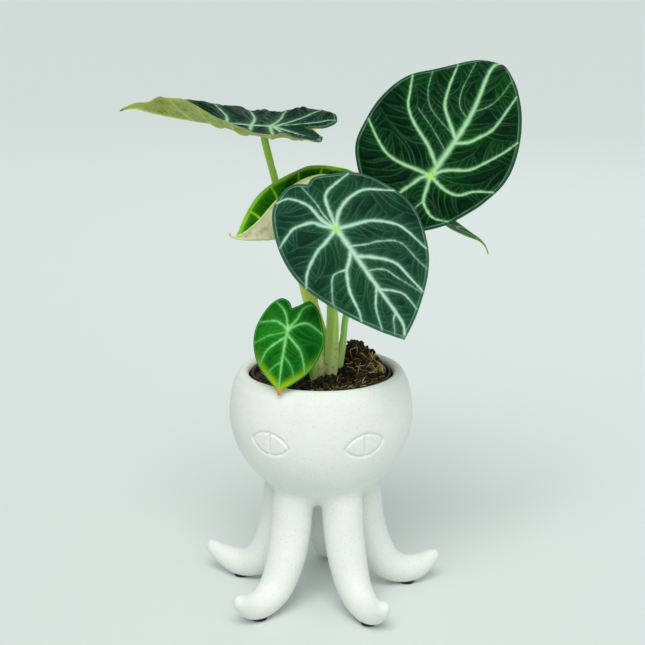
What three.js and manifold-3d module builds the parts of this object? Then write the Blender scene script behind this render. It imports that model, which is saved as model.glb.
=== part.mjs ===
// Potted alocasia: a stoneware planter on five tentacle legs, with two engraved eyes on its round
// bowl, holding a thin nursery pot of soil and a small plant with six heart-shaped leaf blades.
// Millimetres and degrees. +Z is up, -Y is the side that the eyes look to, +X is to the right of it.
import * as THREE from 'three';
import { mergeVertices } from 'three/addons/utils/BufferGeometryUtils.js';
import Module from 'manifold-3d';

const wasm = await Module();
wasm.setup();

// ---- driving dimensions ---------------------------------------------------------------------
const GAP = 0.3; // clearance between two neighbouring pieces

const bowl = {
  radius: 50, // outside of the round bowl
  wall: 5,
  standHeight: 57.9, // lowest point of the bowl above the table
  opening: 39.3, // inner radius of the mouth
  lip: 2.9, // rounding radius of the lip
  lipInset: 3.4, // how far the lip's centre line lies inside the outer sphere
  segments: 40,
  rings: 18, // facets of the round cavity from its bottom to its mouth
};
const legs = {
  count: 5,
  turn: -5.7, // the whole ring of legs is turned a little
  sides: 12,
  // centre line in its own upright plane: distance from the axis, height, radius; the heights of the
  // shank are above the lowest point of the bowl, and those of the foot above the table
  shank: [
    [20, 12.1, 11.5], [22.5, 2.1, 11.2], [24.1, -10.9, 11], [26.6, -22.9, 10.7], [30.7, -33.9, 10.2],
  ],
  foot: [
    [37, 14.2, 9.3], [46, 9, 8.1], [54, 8.7, 7.2], [60.5, 11.3, 5.6], [65, 14.7, 3.9],
    [67, 16.6, 1.5],
  ],
  reach: [0, 0, 0, 3.5, 0], // how much further each toe reaches out
};
const pad = { radius: 4, thickness: 0.9, ahead: 4.3 }; // ahead of the middle of the sole
const eyes = {
  turn: -2.7, // the face looks a little to its own right
  spread: 30.8, // each eye's centre from the middle of the face
  centre: -7.6, // elevation of the eye's centre
  halfWidth: 11.4,
  halfHeight: 6.3,
  tilt: 5, // outer corner higher
  groove: 0.75, // radius of the engraving
};
const pot = {
  topInset: 1.2, // clearance from the mouth of the bowl
  bottomRadius: 29,
  wall: 0.8,
  below: 1.4, // its rim lies this far under the bowl's rim
  flange: 0.6,
  flangeHeight: 3,
};
const soil = {
  below: 5.1, // general level, under the bowl's rim
  slope: 0.075, // rises to the right
  mound: { x: 21, y: 18, height: 15.5, spread: 10.5 },
  crown: { x: 2, y: -1, height: 2.6, spread: 9 },
};
const rhizome = { x: 2, y: -2, radius: 6.4, depth: 20 };
const blade = { thickness: 1.1, rows: 18, columns: 4 };
const stalk = { sides: 10, stepsPerPoint: 2 };

// ---- leaves ---------------------------------------------------------------------------------
// A blade is flat in its own u, v plane: u runs from the stalk to the tip, v to its left. Each half
// outline runs from the bottom of the notch to the tip. heading, rise and roll turn the plane, bend
// and curl bow the midrib, fold and cup raise each half [left, right], tipFold and lobeFold add to
// the fold towards the tip and the lobes. Heights are above the general level of the soil.
// A stalk is a list of [x, y, height, radius]; at is where on the midrib it ends.
const plant = {
  left: {
    attach: [-25.5, 14, 134.8], heading: 179.4, rise: 2, roll: 2.3, bend: -11, lobeBend: 6,
    tail: 12, curl: 37, fold: [-19, 6], cup: [40, 0], tipFold: [94, 55], lobeFold: [0, 13],
    left: [[-19, 0], [-25, 6], [-27, 14], [-24, 28], [-13, 40], [2, 44.5], [17, 43], [35, 36],
      [50, 25.5], [61, 15], [69, 6], [82.5, 0]],
    right: [[-19, 0], [-29, 5], [-33.5, 14.5], [-30, 27], [-17, 36.5], [0, 39.5], [17, 37.5],
      [35, 29], [50, 18], [61, 8.5], [71, 2.5], [82.5, 0]],
    at: 4.5, approach: 6,
    stalk: [[1, -1.5, 1, 4.2], [0.6, -1.5, 8.5, 5.2], [-0.8, -0.5, 20.5, 4.9], [-4, 2, 34.5, 4],
      [-9.5, 5, 51.5, 3.1], [-17.2, 10, 79, 2.3], [-24.5, 14, 105.5, 2]],
  },
  right: {
    attach: [58.1, 5, 109.8], heading: 43.6, rise: 48, roll: 30.5, bend: 5, lobeBend: -4,
    tail: 24, curl: 80, fold: [1, 0.5], cup: [5, 5], tipFold: [0, 0], lobeFold: [0, 0],
    left: [[-25.5, 0], [-32.5, 8], [-30.5, 17.5], [-21.5, 29.5], [-4, 43.5], [13.5, 46.5],
      [31, 45.5], [47, 39.5], [60.5, 26.5], [74.5, 12], [84, 4], [92, 0]],
    right: [[-25.5, 0], [-32.5, 7], [-29.5, 13], [-19.5, 23], [-2, 33], [15.5, 37.5], [35, 34.5],
      [53, 27], [66.5, 18], [76.5, 9], [85, 3], [92, 0]],
    at: 0, approach: 5,
    stalk: [[9.5, 1, 1.5, 1.8], [9.8, 0.5, 8.5, 2.4], [11.2, 0, 16.5, 2.1], [12, 0, 22.5, 1.8],
      [13.2, 0.5, 33.5, 1.7], [17, 3, 50.5, 1.7], [25, 7, 68.5, 1.7], [37, 11, 86.5, 1.8],
      [49, 12.5, 100, 1.8]],
  },
  front: {
    attach: [7.8, -35, 89.3], heading: -36.6, rise: -49.4, roll: 35.4, bend: 6, lobeBend: 4,
    tail: 1, curl: 0, fold: [-1, -2.5], cup: [-6.5, -9], tipFold: [0, 0], lobeFold: [0, 2],
    left: [[-25.5, 0], [-29.5, 5], [-27.5, 13.5], [-21.5, 27], [-8, 38], [10, 43.5], [29.5, 38.5],
      [44, 29], [57, 14.5], [63, 6], [66.5, 0]],
    right: [[-25.5, 0], [-31.5, 6], [-30.5, 14], [-23.5, 24], [-8, 30.5], [8, 32], [23.5, 28.5],
      [41, 19.5], [55, 10], [62, 4], [66.5, 0]],
    at: 0, approach: 5,
    stalk: [[5.2, -3.5, 1, 3], [5.4, -4, 8.5, 3.8], [5.8, -5.5, 20.5, 3.5], [6, -8, 37.5, 3],
      [5.5, -14, 59.5, 2.4], [5.5, -22, 77.5, 2.1]],
  },
  curled: {
    attach: [0.2, 12, 80.5], heading: 228, rise: -4, roll: -12, bend: -17, lobeBend: 0,
    tail: 6, curl: -69, fold: [65, 52], cup: [57, 50], tipFold: [28, -59], lobeFold: [0, 18],
    left: [[-15, 0], [-24, 5], [-26, 12.5], [-23, 22], [-10, 28.5], [6, 32.5], [23, 30.5],
      [39, 23], [52, 12.5], [61.5, 4.7], [68, 1.3], [75, 0]],
    right: [[-15, 0], [-25, 5.5], [-28.5, 14.5], [-25, 26], [-11, 32.5], [6, 36], [23, 32.5],
      [39, 25], [52, 13.5], [61.5, 5], [68, 1.3], [75, 0]],
    at: 0, approach: 5,
    stalk: [[0, 5, 2.5, 2], [-0.6, 6.5, 14.5, 2], [-3.6, 9.2, 39.5, 1.9], [-3, 11.5, 62.5, 1.8]],
  },
  back: {
    attach: [54.6, 34, 85.5], heading: 10, rise: -26.5, roll: 6.5, bend: 0, lobeBend: 4,
    tail: 13, curl: 53, fold: [3.5, 8], cup: [7, 0], tipFold: [10, -27], lobeFold: [0, 0],
    left: [[-9, 0], [-15, 4], [-17, 10], [-14, 17], [-5, 21], [5, 21.5], [16, 18.5], [26.5, 10],
      [34.5, 4], [41, 1.5], [49, 0]],
    right: [[-9, 0], [-15, 4], [-17, 10], [-14, 17], [-5, 21], [5, 21.5], [16, 18.5], [26.5, 10],
      [34.5, 4], [41, 1.5], [49, 0]],
    at: 0, approach: 5,
    stalk: [[5, 4, 2.5, 1.7], [5.2, 5, 14.5, 1.8], [6.6, 8.5, 34.5, 1.7], [17, 17, 56.5, 1.6],
      [37, 28, 73.5, 1.6]],
  },
  young: {
    attach: [-17, -34, 36.4], heading: -116, rise: -66.7, roll: -9, bend: 10, lobeBend: 8,
    tail: 4, curl: 14, fold: [5, 3.5], cup: [-10, -10.5], tipFold: [-3, 4], lobeFold: [0, 0],
    left: [[-11, 0], [-13.5, 4.5], [-16, 9], [-11.5, 14.5], [-4, 18], [4, 20.5], [12.5, 19],
      [21, 14.5], [28, 7], [31.5, 2.5], [35, 0]],
    right: [[-11, 0], [-14.5, 2.5], [-15.5, 7], [-11.5, 12], [-4, 16], [4, 18], [12.5, 17],
      [21, 13], [28, 6], [31.5, 2], [35, 0]],
    at: 0, approach: 3.5,
    stalk: [[-3.4, -8.2, -2, 1.6], [-4.4, -9.4, 5.5, 2.1], [-6.8, -13, 13.5, 1.8],
      [-11, -20, 24, 1.5]],
  },
};

// ---- colours --------------------------------------------------------------------------------
const paint = {
  planter: [0xdde0d6, 0.75],
  pad: [0x17181a, 0.9],
  nursery_pot: [0x2b3338, 0.45],
  soil: [0x33241a, 1],
  rhizome: [0x7c6a45, 0.9],
  stalk: [0xa9bf62, 0.5],
  blade: [0x17402b, 0.6],
  young: [0x2f7a35, 0.5],
};

// ---- sizes that follow ----------------------------------------------------------------------
const rad = THREE.MathUtils.degToRad;
const bowlZ = bowl.standHeight + bowl.radius;
const innerRadius = bowl.radius - bowl.wall;
const lipR = bowl.opening + bowl.lip;
const lipZ = bowlZ + Math.sqrt((bowl.radius - bowl.lipInset) ** 2 - lipR ** 2);
const rimZ = lipZ + bowl.lip;
const soilZ = rimZ - soil.below;
const potRimZ = rimZ - pot.below;
const potTopRadius = bowl.opening - pot.topInset;
const cavityRadius = innerRadius * Math.cos(rad(90 / bowl.rings)) - GAP;
const potFloorZ = bowlZ - Math.sqrt(cavityRadius ** 2 - pot.bottomRadius ** 2);
const soleHeight = pad.thickness + GAP; // each foot is ground flat at this height
const padDistance = legs.foot[1][0] + pad.ahead;
const v3 = (x, y, z) => new THREE.Vector3(x, y, z);

// ---- solids and booleans --------------------------------------------------------------------
function bodyOf(points, triangles) {
  const geometry = new THREE.BufferGeometry();
  const flat = points.flatMap((p) => [p.x, p.y, p.z]);
  geometry.setAttribute('position', new THREE.Float32BufferAttribute(flat, 3));
  geometry.setIndex(triangles.flat());
  return geometry;
}

function manifoldOf(geometry) {
  const bare = geometry.clone();
  bare.deleteAttribute('normal');
  bare.deleteAttribute('uv');
  const merged = mergeVertices(bare, 1e-4);
  const index = merged.index.array;
  const position = merged.attributes.position.array;
  const triangles = [];
  let volume = 0;
  for (let i = 0; i < index.length; i += 3) {
    const [a, b, c] = [index[i], index[i + 1], index[i + 2]];
    if (a !== b && b !== c && c !== a) {
      triangles.push([a, b, c]);
      const [p, q, r] = [a, b, c].map((k) => v3().fromArray(position, 3 * k));
      volume += p.dot(q.cross(r));
    }
  }
  const turned = volume < 0 ? triangles.map(([a, b, c]) => [a, c, b]) : triangles;
  const mesh = new wasm.Mesh({
    numProp: 3,
    vertProperties: new Float32Array(position),
    triVerts: new Uint32Array(turned.flat()),
  });
  return new wasm.Manifold(mesh);
}

function geometryOf(manifold) {
  const mesh = manifold.getMesh();
  const geometry = new THREE.BufferGeometry();
  geometry.setAttribute('position', new THREE.BufferAttribute(mesh.vertProperties, 3));
  geometry.setIndex(new THREE.BufferAttribute(mesh.triVerts, 1));
  return geometry;
}

function largest(manifold) {
  const bodies = manifold.decompose();
  return bodies.sort((a, b) => b.volume() - a.volume())[0];
}

// A body turned about the upright axis; the profile is a list of [radius, height].
function turned(profile, segments) {
  const points = profile.map(([r, z]) => new THREE.Vector2(r, z));
  return manifoldOf(new THREE.LatheGeometry(points, segments).rotateX(Math.PI / 2));
}

// A closed body through a row of rings of equal size; it joins up with itself or gets two caps.
function loft(rings, joined) {
  const sides = rings[0].length;
  const points = rings.flat();
  const triangles = [];
  const last = joined ? rings.length : rings.length - 1;
  for (let i = 0; i < last; i += 1) {
    const next = (i + 1) % rings.length;
    for (let j = 0; j < sides; j += 1) {
      const k = (j + 1) % sides;
      const [a, b, c, d] = [i * sides + j, i * sides + k, next * sides + k, next * sides + j];
      triangles.push([a, b, c], [a, c, d]);
    }
  }
  if (!joined) {
    for (const [ring, flip] of [[0, false], [rings.length - 1, true]]) {
      const centre = points.length;
      const sum = rings[ring].reduce((s, p) => s.add(p), v3(0, 0, 0));
      points.push(sum.divideScalar(sides));
      for (let j = 0; j < sides; j += 1) {
        const [a, b] = [ring * sides + j, ring * sides + ((j + 1) % sides)];
        triangles.push(flip ? [centre, a, b] : [centre, b, a]);
      }
    }
  }
  return manifoldOf(bodyOf(points, triangles));
}

// A round bar along a smooth line of [x, y, z, radius].
function bar(line, sides, steps, grow) {
  const curve = new THREE.CatmullRomCurve3(line.map(([x, y, z]) => v3(x, y, z)));
  const frames = curve.computeFrenetFrames(steps);
  const rings = [];
  for (let i = 0; i <= steps; i += 1) {
    const u = i / steps;
    const t = curve.getUtoTmapping(u) * (line.length - 1);
    const k = Math.min(Math.floor(t), line.length - 2);
    const r = THREE.MathUtils.lerp(line[k][3], line[k + 1][3], t - k) + grow;
    const centre = curve.getPointAt(u);
    if (i === 0) centre.addScaledVector(frames.tangents[0], -grow);
    if (i === steps) centre.addScaledVector(frames.tangents[steps], grow);
    const ring = [];
    for (let j = 0; j < sides; j += 1) {
      const angle = (2 * Math.PI * j) / sides;
      const point = centre.clone();
      point.addScaledVector(frames.normals[i], r * Math.cos(angle));
      point.addScaledVector(frames.binormals[i], r * Math.sin(angle));
      ring.push(point);
    }
    rings.push(ring);
  }
  return loft(rings, false);
}

// ---- the planter ----------------------------------------------------------------------------
function arc(radius, from, to, steps, centreR, centreZ) {
  const points = [];
  for (let i = 0; i <= steps; i += 1) {
    const angle = rad(from + ((to - from) * i) / steps);
    points.push([centreR + radius * Math.cos(angle), centreZ + radius * Math.sin(angle)]);
  }
  return points;
}

function legAngle(index) {
  return rad(legs.turn + (360 / legs.count) * (index + 0.5));
}

function onAxis(points) {
  return points.map(([r, z]) => [Math.max(r, 0) < 1e-6 ? 0 : r, z]);
}

// A direction on the bowl: azimuth from the front towards the right, elevation upwards.
function onBowl(azimuth, elevation, radius) {
  const [a, e] = [rad(azimuth), rad(elevation)];
  const level = radius * Math.cos(e);
  return v3(level * Math.sin(a), -level * Math.cos(a), bowlZ + radius * Math.sin(e));
}

function legLine(index) {
  const a = legAngle(index);
  const shank = legs.shank.map(([distance, z, size]) => [distance, z + bowl.standHeight, size]);
  const line = [...shank, ...legs.foot];
  const toe = line.length - 4;
  return line.map(([distance, z, size], i) => {
    const r = distance + legs.reach[index] * Math.min(1, Math.max(0, (i - toe) / 2));
    return [r * Math.sin(a), -r * Math.cos(a), z, size];
  });
}

// The engraved outline of an almond eye, and its upright pupil slit; side is -1 left or 1 right.
function eyeGrooves(side) {
  const perDegree = rad(1) * bowl.radius;
  const place = (across, up) => {
    const t = rad(eyes.tilt) * side;
    const [x, z] = [across * Math.cos(t) - up * Math.sin(t), across * Math.sin(t) + up * Math.cos(t)];
    const elevation = eyes.centre + z / perDegree;
    const azimuth = eyes.turn + side * eyes.spread + x / perDegree / Math.cos(rad(elevation));
    return [azimuth, elevation];
  };
  const section = (here, before, after) => {
    const centre = onBowl(...here, bowl.radius);
    const out = onBowl(...here, 1).sub(v3(0, 0, bowlZ));
    const along = onBowl(...after, bowl.radius).sub(onBowl(...before, bowl.radius)).normalize();
    const across = out.clone().cross(along).normalize();
    const ring = [];
    for (let j = 0; j < 5; j += 1) {
      const angle = (2 * Math.PI * j) / 5;
      const point = centre.clone().addScaledVector(out, eyes.groove * Math.cos(angle));
      ring.push(point.addScaledVector(across, eyes.groove * Math.sin(angle)));
    }
    return ring;
  };
  const outline = [];
  for (let i = 0; i < 18; i += 1) {
    const angle = (2 * Math.PI * (i + 0.5)) / 18;
    const across = eyes.halfWidth * Math.cos(angle);
    const up = eyes.halfHeight * Math.sign(Math.sin(angle)) * Math.abs(Math.sin(angle)) ** 1.5;
    outline.push(place(across, up));
  }
  const around = outline.map((here, i) => {
    const n = outline.length;
    return section(here, outline[(i + n - 1) % n], outline[(i + 1) % n]);
  });
  const slit = [-0.93, -0.5, 0, 0.5, 0.93].map((k) => place(0, k * eyes.halfHeight));
  const down = slit.map((here, i) => {
    return section(here, slit[Math.max(i - 1, 0)], slit[Math.min(i + 1, slit.length - 1)]);
  });
  return [loft(around, true), loft(down, false)];
}

function planterBody() {
  const outerEnd = 90 - rad(1) ** -1 * Math.acos(Math.min(1, (lipZ - bowlZ - 3.5) / bowl.radius));
  const outer = arc(bowl.radius, -90, outerEnd, 14, 0, bowlZ);
  const lip = arc(bowl.lip, 25, 180, 5, lipR, lipZ);
  const innerEnd = rad(1) ** -1 * Math.asin((lipZ - bowlZ - 5) / innerRadius);
  const inner = arc(innerRadius, innerEnd, -90, bowl.rings, 0, bowlZ);
  const shell = turned(onAxis([...outer, ...lip, ...inner]), bowl.segments);
  const mouth = arc(innerRadius, innerEnd, -90, bowl.rings, 0, bowlZ).reverse();
  const cavity = turned(onAxis([...mouth, [0, mouth[mouth.length - 1][1]]]), bowl.segments);
  let body = shell;
  for (let i = 0; i < legs.count; i += 1) {
    const leg = bar(legLine(i), legs.sides, 14, 0);
    body = body.add(leg.subtract(cavity));
  }
  const under = new THREE.BoxGeometry(400, 400, 20).translate(0, 0, soleHeight - 10);
  body = body.subtract(manifoldOf(under));
  for (const side of [-1, 1]) {
    for (const groove of eyeGrooves(side)) body = body.subtract(groove);
  }
  return largest(body);
}

function padBody(index) {
  const a = legAngle(index);
  const profile = [[0, 0], [pad.radius, 0], [pad.radius, pad.thickness], [0, pad.thickness]];
  return turned(profile, 20).translate([padDistance * Math.sin(a), -padDistance * Math.cos(a), 0]);
}

// ---- the nursery pot and the soil -----------------------------------------------------------
function potInside(z) {
  const share = (z - potFloorZ) / (potRimZ - potFloorZ);
  return THREE.MathUtils.lerp(pot.bottomRadius, potTopRadius - pot.flange, share) - pot.wall;
}

function potBody() {
  const shoulder = potRimZ - pot.flangeHeight;
  const floor = potFloorZ + pot.wall;
  const profile = [
    [0, potFloorZ], [pot.bottomRadius, potFloorZ], [potInside(shoulder) + pot.wall, shoulder],
    [potTopRadius, shoulder], [potTopRadius, potRimZ], [potInside(potRimZ), potRimZ],
    [potInside(floor), floor], [0, floor],
  ];
  return turned(profile, 40);
}

function bump(x, y, hill) {
  const d = (x - hill.x) ** 2 + (y - hill.y) ** 2;
  return hill.height * Math.exp(-d / (2 * hill.spread ** 2));
}

function soilTop(x, y) {
  const edge = Math.min(1, Math.hypot(x, y) / potTopRadius);
  const rough = 0.45 * Math.sin(0.9 * x + 1.3) * Math.cos(0.8 * y) + 0.35 * Math.sin(0.5 * x - 1.1 * y);
  const hill = bump(x, y, soil.mound) * (1 - edge ** 6) + bump(x, y, soil.crown);
  return soilZ + soil.slope * x + hill + rough * (1 - edge ** 4);
}

function soilBody() {
  const [rings, segments] = [9, 40];
  const floor = potFloorZ + pot.wall + GAP;
  const points = [v3(0, 0, soilTop(0, 0))];
  const at = (r, j) => {
    const angle = (2 * Math.PI * j) / segments;
    return [r * Math.cos(angle), r * Math.sin(angle)];
  };
  const edgeR = potInside(soilZ - 4) - GAP;
  for (let i = 1; i <= rings; i += 1) {
    for (let j = 0; j < segments; j += 1) {
      const [x, y] = at((edgeR * i) / rings, j);
      points.push(v3(x, y, soilTop(x, y)));
    }
  }
  for (let j = 0; j < segments; j += 1) {
    const [x, y] = at(potInside(floor) - GAP, j);
    points.push(v3(x, y, floor));
  }
  points.push(v3(0, 0, floor));
  const triangles = [];
  for (let j = 0; j < segments; j += 1) {
    const k = (j + 1) % segments;
    triangles.push([0, 1 + j, 1 + k]);
    for (let i = 0; i < rings; i += 1) {
      const [a, b] = [1 + i * segments, 1 + (i + 1) * segments];
      triangles.push([a + j, b + j, b + k], [a + j, b + k, a + k]);
    }
    const low = 1 + rings * segments;
    triangles.push([low + j, points.length - 1, low + k]);
  }
  return manifoldOf(bodyOf(points, triangles));
}

function rhizomeBody(grow) {
  const r = rhizome.radius + grow;
  const top = soilZ + 0.6 + grow;
  const low = top - rhizome.depth - 2 * grow;
  const profile = [
    [0, low], [0.45 * r, low + 1.2], [0.8 * r, low + 5], [r, low + 11], [0.95 * r, top - 4],
    [0.7 * r, top - 1.2], [0, top],
  ];
  return turned(profile, 20).translate([rhizome.x, rhizome.y, 0]);
}

// ---- leaf blades ----------------------------------------------------------------------------
function leafAxes(leaf) {
  const [h, r, w] = [leaf.heading, leaf.rise, leaf.roll].map(rad);
  const tip = v3(Math.cos(h) * Math.cos(r), Math.sin(h) * Math.cos(r), Math.sin(r));
  const level = v3(0, 0, 1).cross(tip).normalize();
  const upper = tip.clone().cross(level);
  const side = level.clone().multiplyScalar(Math.cos(w)).addScaledVector(upper, Math.sin(w));
  const normal = upper.clone().multiplyScalar(Math.cos(w)).addScaledVector(level, -Math.sin(w));
  return { tip, side, normal };
}

// Follow a circular arc of turn degrees in the plane of the direction and the normal.
function follow(state, length, turn) {
  const a = rad(turn);
  const along = Math.abs(a) < 1e-9 ? length : (length * Math.sin(a)) / a;
  const down = Math.abs(a) < 1e-9 ? 0 : (length * (1 - Math.cos(a))) / a;
  const point = state.point.clone().addScaledVector(state.tip, along);
  point.addScaledVector(state.normal, -down);
  const tip = state.tip.clone().multiplyScalar(Math.cos(a)).addScaledVector(state.normal, -Math.sin(a));
  const normal = state.normal.clone().multiplyScalar(Math.cos(a)).addScaledVector(state.tip, Math.sin(a));
  return { point, tip, normal };
}

// Where a point of the flat blade lies in space.
function onBlade(leaf, u, v) {
  const { tip, side, normal } = leafAxes(leaf);
  const length = leaf.left[leaf.left.length - 1][0];
  const lobe = -Math.min(...leaf.left.map((p) => p[0]), ...leaf.right.map((p) => p[0]));
  const start = v3(leaf.attach[0], leaf.attach[1], leaf.attach[2] + soilZ);
  let state = { point: start, tip, normal };
  if (u < 0) {
    state.tip = tip.clone().negate();
    state = follow(state, -u, (leaf.lobeBend * -u) / lobe);
  } else {
    const body = Math.min(u, length - leaf.tail);
    state = follow(state, body, (leaf.bend * body) / (length - leaf.tail));
    const rest = u - body;
    if (rest > 0) state = follow(state, rest, (leaf.curl * rest) / leaf.tail);
  }
  const half = v >= 0 ? 0 : 1;
  const outline = half === 0 ? leaf.left : leaf.right;
  const width = Math.max(...outline.map((p) => p[1]));
  const more = u > 0 ? leaf.tipFold[half] * (u / length) ** 2 : (leaf.lobeFold[half] * -u) / lobe;
  const fold = rad(leaf.fold[half] + more);
  const w = Math.abs(v);
  const k = rad(leaf.cup[half]) / width;
  const flat = Math.abs(k) < 1e-9;
  const across = flat ? w * Math.cos(fold) : (Math.sin(fold + k * w) - Math.sin(fold)) / k;
  const up = flat ? w * Math.sin(fold) : (Math.cos(fold) - Math.cos(fold + k * w)) / k;
  return state.point.clone()
    .addScaledVector(side, half === 0 ? across : -across)
    .addScaledVector(state.normal, up);
}

// Points at even steps along a smooth curve through a half outline, and the curve's length.
function marginOf(outline, rows) {
  const curve = new THREE.SplineCurve(outline.map(([u, v]) => new THREE.Vector2(u, v)));
  curve.arcLengthDivisions = 400;
  return { points: curve.getSpacedPoints(rows), length: curve.getLength() };
}

// The blade as a thin lens: both faces meet at the margin, the notch and the tip.
function bladeBody(leaf, thickness) {
  const { rows, columns } = blade;
  const notch = leaf.left[0][0];
  const length = leaf.left[leaf.left.length - 1][0];
  const halves = [leaf.left, leaf.right].map((outline, side) => {
    const margin = marginOf(outline, rows);
    const power = margin.length / (length - notch);
    const grid = [];
    for (let i = 0; i <= rows; i += 1) {
      const middle = notch + (length - notch) * (i / rows) ** power;
      const row = [];
      for (let j = 0; j <= columns; j += 1) {
        const q = j / columns;
        const u = THREE.MathUtils.lerp(middle, margin.points[i].x, q);
        const v = Math.max(q * margin.points[i].y, 1e-4) * (side === 0 ? 1 : -1);
        row.push([u, v, q]);
      }
      grid.push(row);
    }
    return grid;
  });
  const points = [];
  const triangles = [];
  const normalAt = (u, v) => {
    const e = 0.05;
    const sign = v >= 0 ? 1 : -1;
    const alongU = onBlade(leaf, u + e, v).sub(onBlade(leaf, u - e, v));
    const alongV = onBlade(leaf, u, v + sign * e).sub(onBlade(leaf, u, v)).multiplyScalar(sign);
    return alongU.cross(alongV).normalize();
  };
  const face = [1, -1].map((up) => halves.map((grid) => grid.map((row) => row.map(([u, v, q]) => {
    const point = onBlade(leaf, u, v);
    const share = 0.5 * thickness * (1 - q ** 3);
    points.push(point.addScaledVector(normalAt(u, v), up * share));
    return points.length - 1;
  }))));
  for (let i = 1; i <= rows; i += 1) {
    const left = face.map((halvesOf) => halvesOf[0][i][0]);
    face.forEach((halvesOf, f) => { halvesOf[1][i][0] = left[f]; });
  }
  face[1].forEach((grid, side) => {
    grid.forEach((row, i) => { row[columns] = face[0][side][i][columns]; });
  });
  for (const [f, side] of [[0, 0], [0, 1], [1, 0], [1, 1]]) {
    const grid = face[f][side];
    const ends = [face[0][0][0][columns], face[0][0][rows][columns]];
    const flip = f === side;
    for (let i = 0; i < rows; i += 1) {
      for (let j = 0; j < columns; j += 1) {
        const corner = (r, c) => (r === 0 ? ends[0] : r === rows ? ends[1] : grid[r][c]);
        const quad = [corner(i, j), corner(i + 1, j), corner(i + 1, j + 1), corner(i, j + 1)];
        for (const [a, b, c] of [[0, 1, 2], [0, 2, 3]]) {
          const triangle = [quad[a], quad[b], quad[c]];
          if (new Set(triangle).size === 3) triangles.push(flip ? triangle.reverse() : triangle);
        }
      }
    }
  }
  return manifoldOf(bodyOf(points, triangles));
}

// ---- stalks ---------------------------------------------------------------------------------
function stalkLine(leaf) {
  const line = leaf.stalk.map(([x, y, z, r]) => [x, y, z + soilZ, r]);
  const end = onBlade(leaf, leaf.at, 1e-4);
  const { normal } = leafAxes(leaf);
  const radius = line[line.length - 1][3];
  const near = end.clone().addScaledVector(normal, -leaf.approach);
  end.addScaledVector(normal, -0.2 * blade.thickness);
  return [...line, [near.x, near.y, near.z, radius], [end.x, end.y, end.z, radius * 1.1]];
}

function stalkBody(leaf, grow) {
  const line = stalkLine(leaf);
  return bar(line, stalk.sides, (line.length - 1) * stalk.stepsPerPoint, grow);
}

// ---- assembly -------------------------------------------------------------------------------
const group = new THREE.Group();

function addPiece(name, manifold, colour) {
  const material = new THREE.MeshStandardMaterial({
    color: colour[0], roughness: colour[1], metalness: 0,
  });
  const mesh = new THREE.Mesh(geometryOf(manifold), material);
  mesh.name = name;
  group.add(mesh);
  return mesh;
}

addPiece('planter', planterBody(), paint.planter);
for (let i = 0; i < legs.count; i += 1) addPiece(`foot_pad_${i + 1}`, padBody(i), paint.pad);
addPiece('nursery_pot', potBody(), paint.nursery_pot);

// Stalks in the order in which they wrap each other: a later one is cut back from the earlier ones.
const wrapped = ['front', 'left', 'right', 'young', 'back', 'curled'];
const grownStalks = [];
for (const name of wrapped) {
  const leaf = plant[name];
  let body = stalkBody(leaf, 0).subtract(bladeBody(leaf, blade.thickness + 2 * GAP));
  for (const other of grownStalks) body = body.subtract(other);
  addPiece(`stalk_${name}`, largest(body), paint.stalk);
  grownStalks.push(stalkBody(leaf, GAP));
}
let stem = rhizomeBody(0);
let earth = soilBody().subtract(rhizomeBody(GAP));
for (const grown of grownStalks) {
  stem = stem.subtract(grown);
  earth = earth.subtract(grown);
}
addPiece('rhizome', largest(stem), paint.rhizome);
addPiece('soil', largest(earth), paint.soil);
for (const [name, leaf] of Object.entries(plant)) {
  const colour = name === 'young' ? paint.young : paint.blade;
  addPiece(`blade_${name}`, bladeBody(leaf, blade.thickness), colour);
}

// The origin is the middle of the underside of the whole object's box.
const box = new THREE.Box3().setFromObject(group);
group.position.set(-(box.min.x + box.max.x) / 2, -(box.min.y + box.max.y) / 2, -box.min.z);

export default group;
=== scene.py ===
"""A potted alocasia in a stoneware planter on five tentacle legs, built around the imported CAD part.

Sizes here are millimetres from the pot's upright axis on the floor plane, as in the part's own source,
and add_mesh() turns them into metres in the shared frame. Angles are degrees.
"""

import itertools
import math

import bpy
import bmesh
import numpy as np
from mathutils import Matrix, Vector
from mathutils.kdtree import KDTree


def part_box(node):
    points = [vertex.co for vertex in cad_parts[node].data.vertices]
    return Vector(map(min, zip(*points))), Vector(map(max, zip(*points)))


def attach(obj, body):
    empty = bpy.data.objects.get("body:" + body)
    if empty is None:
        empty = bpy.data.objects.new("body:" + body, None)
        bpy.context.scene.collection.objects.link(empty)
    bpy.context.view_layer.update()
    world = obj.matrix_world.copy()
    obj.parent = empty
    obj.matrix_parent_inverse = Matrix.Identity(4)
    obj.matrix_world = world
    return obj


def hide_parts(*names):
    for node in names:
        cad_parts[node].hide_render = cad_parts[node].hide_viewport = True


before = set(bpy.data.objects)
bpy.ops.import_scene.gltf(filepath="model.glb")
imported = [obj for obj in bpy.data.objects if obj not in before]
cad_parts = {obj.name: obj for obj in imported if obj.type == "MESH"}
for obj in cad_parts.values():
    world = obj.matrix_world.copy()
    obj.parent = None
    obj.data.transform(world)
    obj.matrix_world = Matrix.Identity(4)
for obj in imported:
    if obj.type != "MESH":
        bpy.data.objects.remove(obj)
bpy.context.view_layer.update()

# ---- sizes that come from the frame ----
MM = 0.001


def box_mm(name):
    low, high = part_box(name)
    return np.array(low) / MM, np.array(high) / MM


pot_low, pot_high = box_mm("nursery_pot")
AXIS = (pot_low + pot_high) / 2 * [1, 1, 0]
RIM_Z = box_mm("planter")[1][2]
POT_RIM_Z = pot_high[2]
POT_FLOOR_Z = pot_low[2]
POT_TOP_R = (pot_high[0] - pot_low[0]) / 2

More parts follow.
